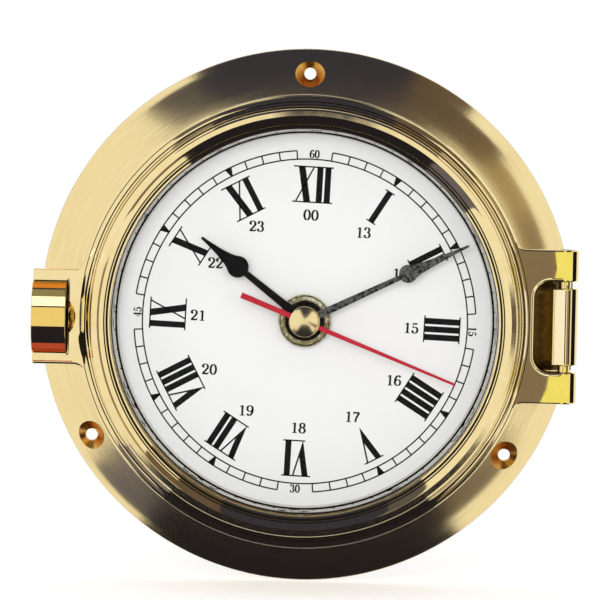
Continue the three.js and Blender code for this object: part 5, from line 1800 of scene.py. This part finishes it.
@dataclass
class Movement(Assembly):
    """The quartz movement behind the dial, with its nut, battery and setting knobs."""

    nut: float = 5.85  # radius of the hand nut
    knurls: int = 72  # ridges round it
    knurl_depth: float = 0.12  # their depth
    notch: float = 1.2  # width of its spanner notch
    notch_angle: float = -48.0  # angle of the notch on the face
    bush: float = 4.0  # radius of the threaded bush
    bush_bore: float = 2.38  # radius of its bore
    bush_gap: float = 0.15  # space between the bush and what it passes through
    thread: Point = (0.6, 0.22)  # distance between the turns of its thread, and their depth
    wall: float = 1.5  # thickness of the housing's walls
    corner: float = 4.0  # corner radius of the housing
    bay: Point = (-26.5, -11.2)  # lower and upper edge of the battery bay
    arbor_hole: float = 0.88  # radius of the holes for the setting knobs
    knob_rim: Point = (4.7, 5.6)  # inner and outer radius of the rims round the knobs
    switch_shift: float = 1.5  # how far over the switch's middle its window is centred
    louvre_reach: float = 4.6  # half width of the louvres over the buzzer
    louvre_step: float = 1.8  # distance between them

    def knurled(self) -> Loop:
        """The outline of the hand nut, a circle with fine ridges."""
        points = []
        for i in range(self.knurls * 6):
            swing = 0.5 - 0.5 * math.cos(i / 6 * 2 * math.pi)
            points.append(polar(self.nut - self.knurl_depth * swing, i * 60 / self.knurls))
        return points

    def hand_nut(self) -> None:
        """Make the knurled nut and the threaded bush."""
        box = Extent.of("hand_nut")
        middle = (box.foot + box.top) / 2
        plan = self.knurled()
        bore = self.bush + self.bush_gap
        halves = [slab("lower", plan, box.foot, middle, Edges(0.0, 0.15, 3), [circle(bore, 96)])]
        gap, inner_gap = (math.degrees(math.asin(self.notch / 2 / radius)) for radius in (self.nut, bore))
        for turn in (self.notch_angle, self.notch_angle + 180):

            def past_notch(point: Point, start: float = turn) -> float:
                """Angle of a point from the notch, in degrees."""
                return (math.degrees(math.atan2(point[1], point[0])) - start) % 360

            rim = sorted((p for p in plan if gap < past_notch(p) < 180 - gap), key=past_notch)
            back = turned_loop(arc((0.0, 0.0), bore, 180 - inner_gap, inner_gap, 48), turn)
            halves.append(slab("upper", rim + back, middle - 0.02, box.top, Edges(0.25, 0.0, 3)))
        self.fit(merged("knurled_nut", *halves), Body.CASE, KNURLED_BRASS, "plain_brass", "hand_nut")
        # Painted shade: dark rings on the nut's face that stand in for the shadow gaps at its edge and
        # round the bush.
        heights = (box.top - 0.05, box.top + 0.03)
        lines = [(self.nut - 0.52, self.nut - 0.36), (bore + 0.1, bore + 0.28)]
        rings = [band("line", radii, heights) for radii in lines]
        self.fit(merged("nut_shade_lines", *rings), Body.CASE, PAINTED_DARK, "plain_brass")
        self.threaded_tube()

    def threaded_tube(self) -> None:
        """Make the threaded bush."""
        tube = Extent.of("threaded_bush")
        pitch, depth = self.thread
        root = self.bush - depth
        profile = [(self.bush_bore, tube.foot), (root, tube.foot)]
        for i in range(int((tube.top - tube.foot - pitch) / pitch)):
            height = tube.foot + pitch / 2 + i * pitch
            profile += [(root, height), (self.bush, height + pitch / 2)]
        profile += [(root, tube.top), (self.bush_bore, tube.top)]
        bush = turned("threaded_tube", profile, sides=72)
        self.fit(bush, Body.CASE, PLAIN_BRASS, "plain_brass", "threaded_bush")

    def housing(self) -> None:
        """Make the moulded tray and the rear cover."""
        tray = Extent.of("movement_front_housing")
        half = tray.right
        plan = rounded_box(half, tray.low, tray.high, self.corner)
        shell = slab("movement_tray", plan, tray.foot, tray.top, Edges(0.6, 0.15, 4))
        floor = tray.top - 1.4
        inner = half - self.wall
        bay = rounded_box(inner, self.bay[0], self.bay[1], 0.8)
        train = rounded_box(inner, self.bay[1] + 1.0, tray.high - self.wall, 1.0)
        pockets = [slab("pocket", pocket, tray.foot - 1, floor, Edges(0.3)) for pocket in (bay, train)]
        bush_hole = slab("bush_hole", circle(self.bush + self.bush_gap, 64), floor - 1, tray.top + 1)
        work(shell, Join.CUT, *pockets, bush_hole)
        self.fit(shell, Body.CASE, BLACK_PLASTIC, "black_plastic", "movement_front_housing")
        cover = Extent.of("movement_rear_cover")
        foot = cover.foot
        knobs = [Extent.of(node).centre for node in ("time_set_knob", "alarm_set_knob")]
        x, y = Extent.of("alarm_switch").centre
        window = (x, y + self.switch_shift)
        holes = [bay, *[circle(self.arbor_hole, 32, knob) for knob in knobs]]
        holes.append(shifted(rounded_box(1.35, -3.05, 3.05, 0.3, 3), *window))
        plate = slab("rear_cover", plan, foot, tray.foot - 0.25, Edges(0.1, 0.4, 4), holes)
        self.fit(plate, Body.CASE, BLACK_PLASTIC, "black_plastic", "movement_rear_cover")
        rims = []
        for knob in knobs:
            inner, outer = (circle(radius, 72, knob) for radius in self.knob_rim)
            rims.append(slab("rim", outer, foot - 0.8, foot + 0.2, Edges(0.0, 0.25, 3), [inner]))
        rail = shifted(rounded_box(3.6, -5.2, 5.2, 0.8), *window)
        opening = shifted(rounded_box(2.9, -4.5, 4.5, 0.5), *window)
        rims.append(slab("rail", rail, foot - 0.5, foot + 0.2, Edges(0.0, 0.2, 3), [opening]))
        self.fit(merged("cover_rims", *rims), Body.CASE, BLACK_PLASTIC, "black_plastic")
        self.ribs(cover)

    def ribs(self, cover: Extent) -> None:
        """Make the sound slots' louvres over the buzzer and the clips at the cover's sides.

        Args:
            cover: where the cover sits.
        """
        x, y = Extent.of("alarm_buzzer").centre
        edges = Edges(0.0, 0.2, 3)
        louvres = []
        for i in range(-2, 3):
            rise = i * self.louvre_step
            half = math.sqrt(max(0.1, self.louvre_reach**2 - rise**2))
            plan = shifted(rounded_box(half, -0.45, 0.45, 0.4, 3), x, y + rise)
            louvres.append(slab("louvre", plan, cover.foot - 0.45, cover.foot + 0.2, edges))
        for side in (-1, 1):
            for rise in (-4.0, 17.0):
                plan = shifted(rounded_box(1.0, -3, 3, 0.4, 3), side * (cover.right - 1.2), rise)
                louvres.append(slab("clip", plan, cover.foot - 0.35, cover.foot + 0.2, edges))
        self.fit(merged("cover_louvres", *louvres), Body.CASE, BLACK_PLASTIC, "black_plastic")

    def cell(self) -> None:
        """Make the battery with its sleeve and end caps."""
        box = Extent.of("battery")
        middle = (0.0, (box.low + box.high) / 2, (box.foot + box.top) / 2)
        line = Spindle(middle, (1.0, 0.0, 0.0), (0.0, 1.0, 0.0))
        radius = box.radius
        left, right = box.left, box.right - 1.0
        can = [
            (0.0, left + 0.15), (radius - 2.6, left + 0.15), (radius - 2.2, left),
            (radius - 1.0, left), (radius - 0.35, left + 0.4), (radius - 0.35, right - 0.5),
            (radius - 1.2, right), (3.4, right), (3.0, right + 0.05), (2.7, right + 0.35),
            (2.7, box.right - 0.25), (2.45, box.right), (0.0, box.right),
        ]
        self.fit(turned("battery_can", can, line, 96), Body.CASE, STEEL, "steel", "battery")
        sleeve = [
            (radius - 1.3, left + 0.12), (radius - 0.7, left + 0.1), (radius - 0.15, left + 0.45),
            (radius, left + 0.9), (radius, right - 1.0), (radius - 0.15, right - 0.5),
            (radius - 0.8, right - 0.12), (radius - 1.4, right - 0.1), (radius - 1.4, right - 0.3),
            (radius - 0.36, right - 0.75), (radius - 0.36, left + 0.65),
            (radius - 1.3, left + 0.3),
        ]
        self.fit(turned("battery_wrap", sleeve, line, 96), Body.CASE, CELL_SLEEVE, "battery_sleeve")

    def build(self) -> None:
        """Make the movement's visible pieces and dress the rest."""
        self.hand_nut()
        self.housing()
        self.cell()
        self.dress(BLACK_RUBBER, "rubber_washer")
        self.dress(STEEL, "rotor", "seconds_wheel", "stator", "quartz_crystal")
        self.dress(STEEL, "battery_contact_positive", "battery_contact_negative")
        self.dress(IVORY_PLASTIC, "intermediate_wheel", "third_wheel", "motion_wheel", "alarm_wheel")
        self.dress(PLAIN_BRASS, "centre_wheel", "hour_wheel", "alarm_buzzer")
        self.dress(COPPER_WIRE, "stepper_coil")
        self.dress(BOARD, "circuit_board")
        self.dress(BLACK_PLASTIC, "time_set_knob", "alarm_set_knob", "alarm_switch")


# Studio


def glowing(name: str, bm: Shape, colour: Space) -> None:
    """Hang a card that only reflections see.

    Args:
        name: name of the card.
        bm: its shape.
        colour: colour that it shows, linear.
    """
    card = object_of(name, bm)
    made, bench = new_material(name)
    glow = bench.add("Emission", {"Color": (*colour, 1), "Strength": 1.0})
    clear = bench.add("BsdfTransparent")
    bench.surface(bench.add("MixShader", {0: bench.mirrored(), 1: clear.outputs[0], 2: glow.outputs[0]}))
    card.data.materials.append(made)
    card.visible_camera = False
    card.visible_diffuse = False
    card.visible_shadow = False
    card.visible_volume_scatter = False


@dataclass(frozen=True)
class Card:
    """A curved card round the clock."""

    name: str  # name of the card
    colour: Space  # colour that it shows, linear
    sweep: Point  # first and last angle round the view line, from the right towards the top
    reach: Point  # nearest and farthest angle off the view line
    distance: float = 0.8  # its distance in metres
    grid: ClassVar[tuple[int, int]] = (24, 32)  # rows and columns of its faces

    def build(self) -> None:
        """Hang the card."""
        bm = bmesh.new()
        down, along = self.grid
        rows = []
        for i in range(down + 1):
            off = math.radians(self.reach[0] + (self.reach[1] - self.reach[0]) * i / down)
            row = []
            for j in range(along + 1):
                x, z = polar(math.sin(off), self.sweep[0] + (self.sweep[1] - self.sweep[0]) * j / along)
                row.append(bm.verts.new(Vector((x, -math.cos(off), z)) * self.distance))
            rows.append(row)
        for lower, upper in zip(rows, rows[1:]):
            for j in range(along):
                bm.faces.new((lower[j], lower[j + 1], upper[j + 1], upper[j]))
        glowing(self.name, bm, self.colour)


@dataclass(frozen=True)
class Plate:
    """A flat glowing plate in front of the clock that only reflections see; it paints a reflection of its
    colour onto a nearby part.
    """

    name: str  # name of the plate
    colour: Space  # colour that it shows, linear
    corners: tuple[Space, ...]  # its corners in the face frame, in millimetres

    @classmethod
    def between(cls, name: str, colour: Space, low: Space, high: Space) -> "Plate":
        """A rectangle between two corners that are level in one direction.

        Args:
            name: name of the plate.
            colour: colour that it shows, linear.
            low: the corner with the lowest values.
            high: the corner opposite.

        Returns:
            The plate.
        """
        first, second = (k for k in range(3) if low[k] != high[k])
        corners = []
        for one, two in ((low, low), (high, low), (high, high), (low, high)):
            corner = list(low)
            corner[first], corner[second] = one[first], two[second]
            corners.append(tuple(corner))
        return cls(name, colour, tuple(corners))

    def build(self) -> None:
        """Hang the plate."""
        bm = bmesh.new()
        bm.faces.new([bm.verts.new(FACE.place(*corner)) for corner in self.corners])
        glowing(self.name, bm, self.colour)


@dataclass(frozen=True)
class Lamp:
    """A soft lamp that looks at the clock and that no reflection shows."""

    name: str  # name of the lamp
    place: Space  # where it hangs, in metres
    power: float  # its power in watts
    size: float  # its side in metres

    def build(self) -> None:
        """Hang the lamp."""
        data = bpy.data.lights.new(self.name, "AREA")
        data.energy = self.power
        data.size = self.size
        lamp = bpy.data.objects.new(self.name, data)
        lamp.location = self.place
        lamp.rotation_euler = (-Vector(self.place)).to_track_quat("-Z", "Y").to_euler()
        lamp.visible_glossy = False
        lamp.visible_transmission = False
        bpy.context.scene.collection.objects.link(lamp)


# Painted reflection: yellow of the plates that paint reflections onto the hinge lug and its ears, and
# outline of the plate that paints the lug's darker reflection.
YELLOW: Space = (1.0, 1.0, 0.36)
LUG_PLATE: Loop = [
    (46.3, -20.0), (52.5, -19.8), (53.4, -18.0), (54.5, -15.4), (54.9, -12.8), (55.3, -10.8),
    (55.6, 8.2), (55.9, 9.7), (56.3, 11.8), (56.0, 13.8), (55.6, 17.4), (46.5, 17.4), (48.3, 8.0),
    (48.9, -1.5), (48.3, -11.0),
]


@dataclass
class Studio:
    """Floor, cards, lamps, background and camera."""

    distance: float = 1147.0  # camera distance from the flange, in millimetres
    azimuth: float = 0.75  # camera angle to the right of the face, in degrees
    elevation: float = 2.8  # camera angle over the face
    roll: float = 1.2  # how far the camera leans anticlockwise
    frame_width: float = 135.2  # width of the frame at the flange
    # Where the frame's middle lies from the flange's middle, right and up.
    offset: Point = (-1.374, 3.447)
    flange_plane: float = 3.0  # height of the flange's measured edge
    fill: float = 0.55  # brightness of the surroundings on matt surfaces
    floor_radius: float = 2.5  # radius of the floor, in metres
    floor_gap: float = 0.0005  # how far it lies under the clock, in metres
    floor_glow: float = 0.5  # light of its own that the camera sees
    sensor: float = 36.0  # width of the camera's sensor
    clip: Point = (0.01, 20.0)  # nearest and farthest distance that the camera sees, in metres
    # Lamps that light the clock.
    lamps: tuple[Lamp, ...] = (
        Lamp("key_lamp", (-0.2, -1.6, 0.22), power=11.0, size=0.6),
        Lamp("side_lamp", (0.5, -1.4, 0.2), power=4.0, size=0.8),
    )
    # Cards that reflections see; the plates among them paint reflections onto the knob, the hinge lug and
    # its ears, and plate_knob_over a painted highlight brighter than white.
    cards: tuple[Card | Plate, ...] = (
        Card("card_over", (0.041, 0.044, 0.089), (66.0, 118.0), (2.4, 128.0)),
        Card("card_over_left", (0.11, 0.11, 0.15), (118.0, 131.0), (20.0, 82.0)),
        Card("card_over_right", (0.13, 0.105, 0.10), (51.0, 66.0), (4.0, 128.0)),
        Card("card_high_right", (0.16, 0.125, 0.11), (38.0, 51.0), (22.0, 66.0)),
        Card("card_right_high", (0.46, 0.38, 0.25), (22.0, 38.0), (22.0, 52.0)),
        Card("card_right", (0.30, 0.24, 0.20), (-22.0, 22.0), (22.0, 52.0)),
        Card("card_right_low", (0.12, 0.08, 0.08), (324.0, 338.0), (4.0, 22.0)),
        Card("card_low_right", (0.21, 0.18, 0.18), (304.0, 324.0), (22.0, 56.0)),
        Card("card_under", (0.018, 0.017, 0.031), (234.0, 304.0), (6.8, 130.0)),
        Card("card_under_left", (0.15, 0.15, 0.25), (218.0, 234.0), (20.0, 85.0)),
        Plate.between("plate_knob_front", (0.95, 0.82, 0.42), (-62, -4.8, 42), (-52.3, 5.2, 42)),
        Plate.between("plate_knob_over", (1.8, 1.8, 1.8), (-62, 16, 41), (-52.6, 16, 57)),
        Plate.between("plate_knob_high", (0.30, 0.29, 0.20), (-62, 16, 34), (-52.6, 16, 41)),
        Plate.between("plate_knob_top", (0.78, 0.30, 0.06), (-61, 11.6, 29.5), (-52.5, 11.6, 33.2)),
        Plate.between("plate_knob_under", (0.5, 0.09, 0.06), (-62, -9.9, 31.4), (-51, -9.9, 34.8)),
        Plate("plate_lug_inner", (0.25, 0.205, 0.18), tuple((x, y, 60) for x, y in LUG_PLATE)),
        Plate.between("plate_lug_outer", YELLOW, (52, 8.2, 61), (58.8, 17.4, 61)),
        Plate.between("plate_barrel", (1.1, 1.15, 1.4), (52, -10.8, 61), (64, 8.2, 61)),
        Plate.between("plate_lug_low", YELLOW, (52, -20, 61), (58.8, -10.8, 61)),
        Plate.between("plate_hinge_dark", (0.01, 0.01, 0.01), (62, -18, 29.2), (62, 18, 32.6)),
        Plate.between("plate_ear_upper", YELLOW, (57, 8.9, 36), (67, 18, 36)),
        Plate.between("plate_ear_lower", YELLOW, (57, -18.4, 36), (67, -9.3, 36)),
    )

    def background(self) -> None:
        """Make the white surroundings."""
        world = bpy.data.worlds.new("studio_white")
        bpy.context.scene.world = world
        world.use_nodes = True
        bench = NodeBench(world.node_tree)
        path = bench.add("LightPath").outputs
        seen = bench.math("MAXIMUM", path["Is Camera Ray"], path["Is Glossy Ray"])
        seen = bench.math("MAXIMUM", seen, path["Is Transmission Ray"])
        dim = bench.add("Background", {"Color": (1, 1, 1, 1), "Strength": self.fill})
        white = bench.add("Background", {"Color": (1, 1, 1, 1), "Strength": 1.0})
        mix = bench.add("MixShader", {0: seen, 1: dim.outputs[0], 2: white.outputs[0]})
        bench.add("OutputWorld", {"Surface": mix.outputs[0]})

    def floor(self) -> None:
        """Make the pale floor that keeps the clock's shadow."""
        bm = bmesh.new()
        bmesh.ops.create_circle(bm, cap_ends=True, segments=96, radius=self.floor_radius)
        ground = object_of("floor", bm)
        ground.location.z = CAD_BOX[0][2] - self.floor_gap
        made, bench = new_material("pale_floor")
        path = bench.add("LightPath").outputs
        seen = bench.math("MAXIMUM", path["Is Camera Ray"], path["Is Transmission Ray"])
        share = bench.math("MULTIPLY", seen, self.floor_glow)
        grain = bench.noise(bench.place(), 40.0)
        pale = bench.blend(grain, (0.90, 0.90, 0.90), (0.92, 0.92, 0.92))
        values = {"Base Color": pale, "Roughness": 0.8, "Specular IOR Level": 0.1}
        matt = bench.add("BsdfPrincipled", values)
        glow = bench.add("Emission", {"Color": (1, 1, 1, 1), "Strength": share})
        lit = bench.add("AddShader", {0: matt.outputs[0], 1: glow.outputs[0]})
        clear = bench.add("BsdfTransparent")
        bench.surface(bench.add("MixShader", {0: bench.mirrored(), 1: lit.outputs[0], 2: clear.outputs[0]}))
        ground.data.materials.append(made)

    def camera(self) -> None:
        """Set the camera at the photograph's angle."""
        across, up = math.radians(self.azimuth), math.radians(self.elevation)
        look = Vector((math.sin(across) * math.cos(up), -math.cos(across) * math.cos(up), math.sin(up)))
        turn = (-look).to_track_quat("-Z", "Y").to_matrix().to_4x4()
        turn = turn @ Matrix.Rotation(math.radians(self.roll), 4, "Z")
        shift = turn.to_3x3() @ Vector((self.offset[0], self.offset[1], 0.0))
        place = (Vector((0.0, -self.flange_plane, 0.0)) + look * self.distance + shift) * MM
        data = bpy.data.cameras.new("camera")
        data.sensor_width = self.sensor
        data.lens = self.sensor * self.distance / self.frame_width
        data.clip_start, data.clip_end = self.clip
        camera = bpy.data.objects.new("camera", data)
        camera.matrix_world = Matrix.Translation(place) @ turn
        bpy.context.scene.collection.objects.link(camera)
        bpy.context.scene.camera = camera

    def build(self) -> None:
        """Set up the studio."""
        bpy.context.scene.view_settings.view_transform = "Standard"
        self.background()
        self.floor()
        for thing in (*self.cards, *self.lamps):
            thing.build()
        self.camera()
        log.info("studio ready")


def main() -> None:
    """Build the clock piece by piece, then the studio, and log how many pieces were fitted."""
    logging.basicConfig(level=logging.INFO, format="%(name)s: %(message)s")
    for part in (Case(), Dial(), Bezel(), ThumbScrew(), Hands(), Movement(), Studio()):
        part.build()
    log.info("%d pieces fitted", len(Assembly.fitted))


if __name__ == "__main__":
    main()
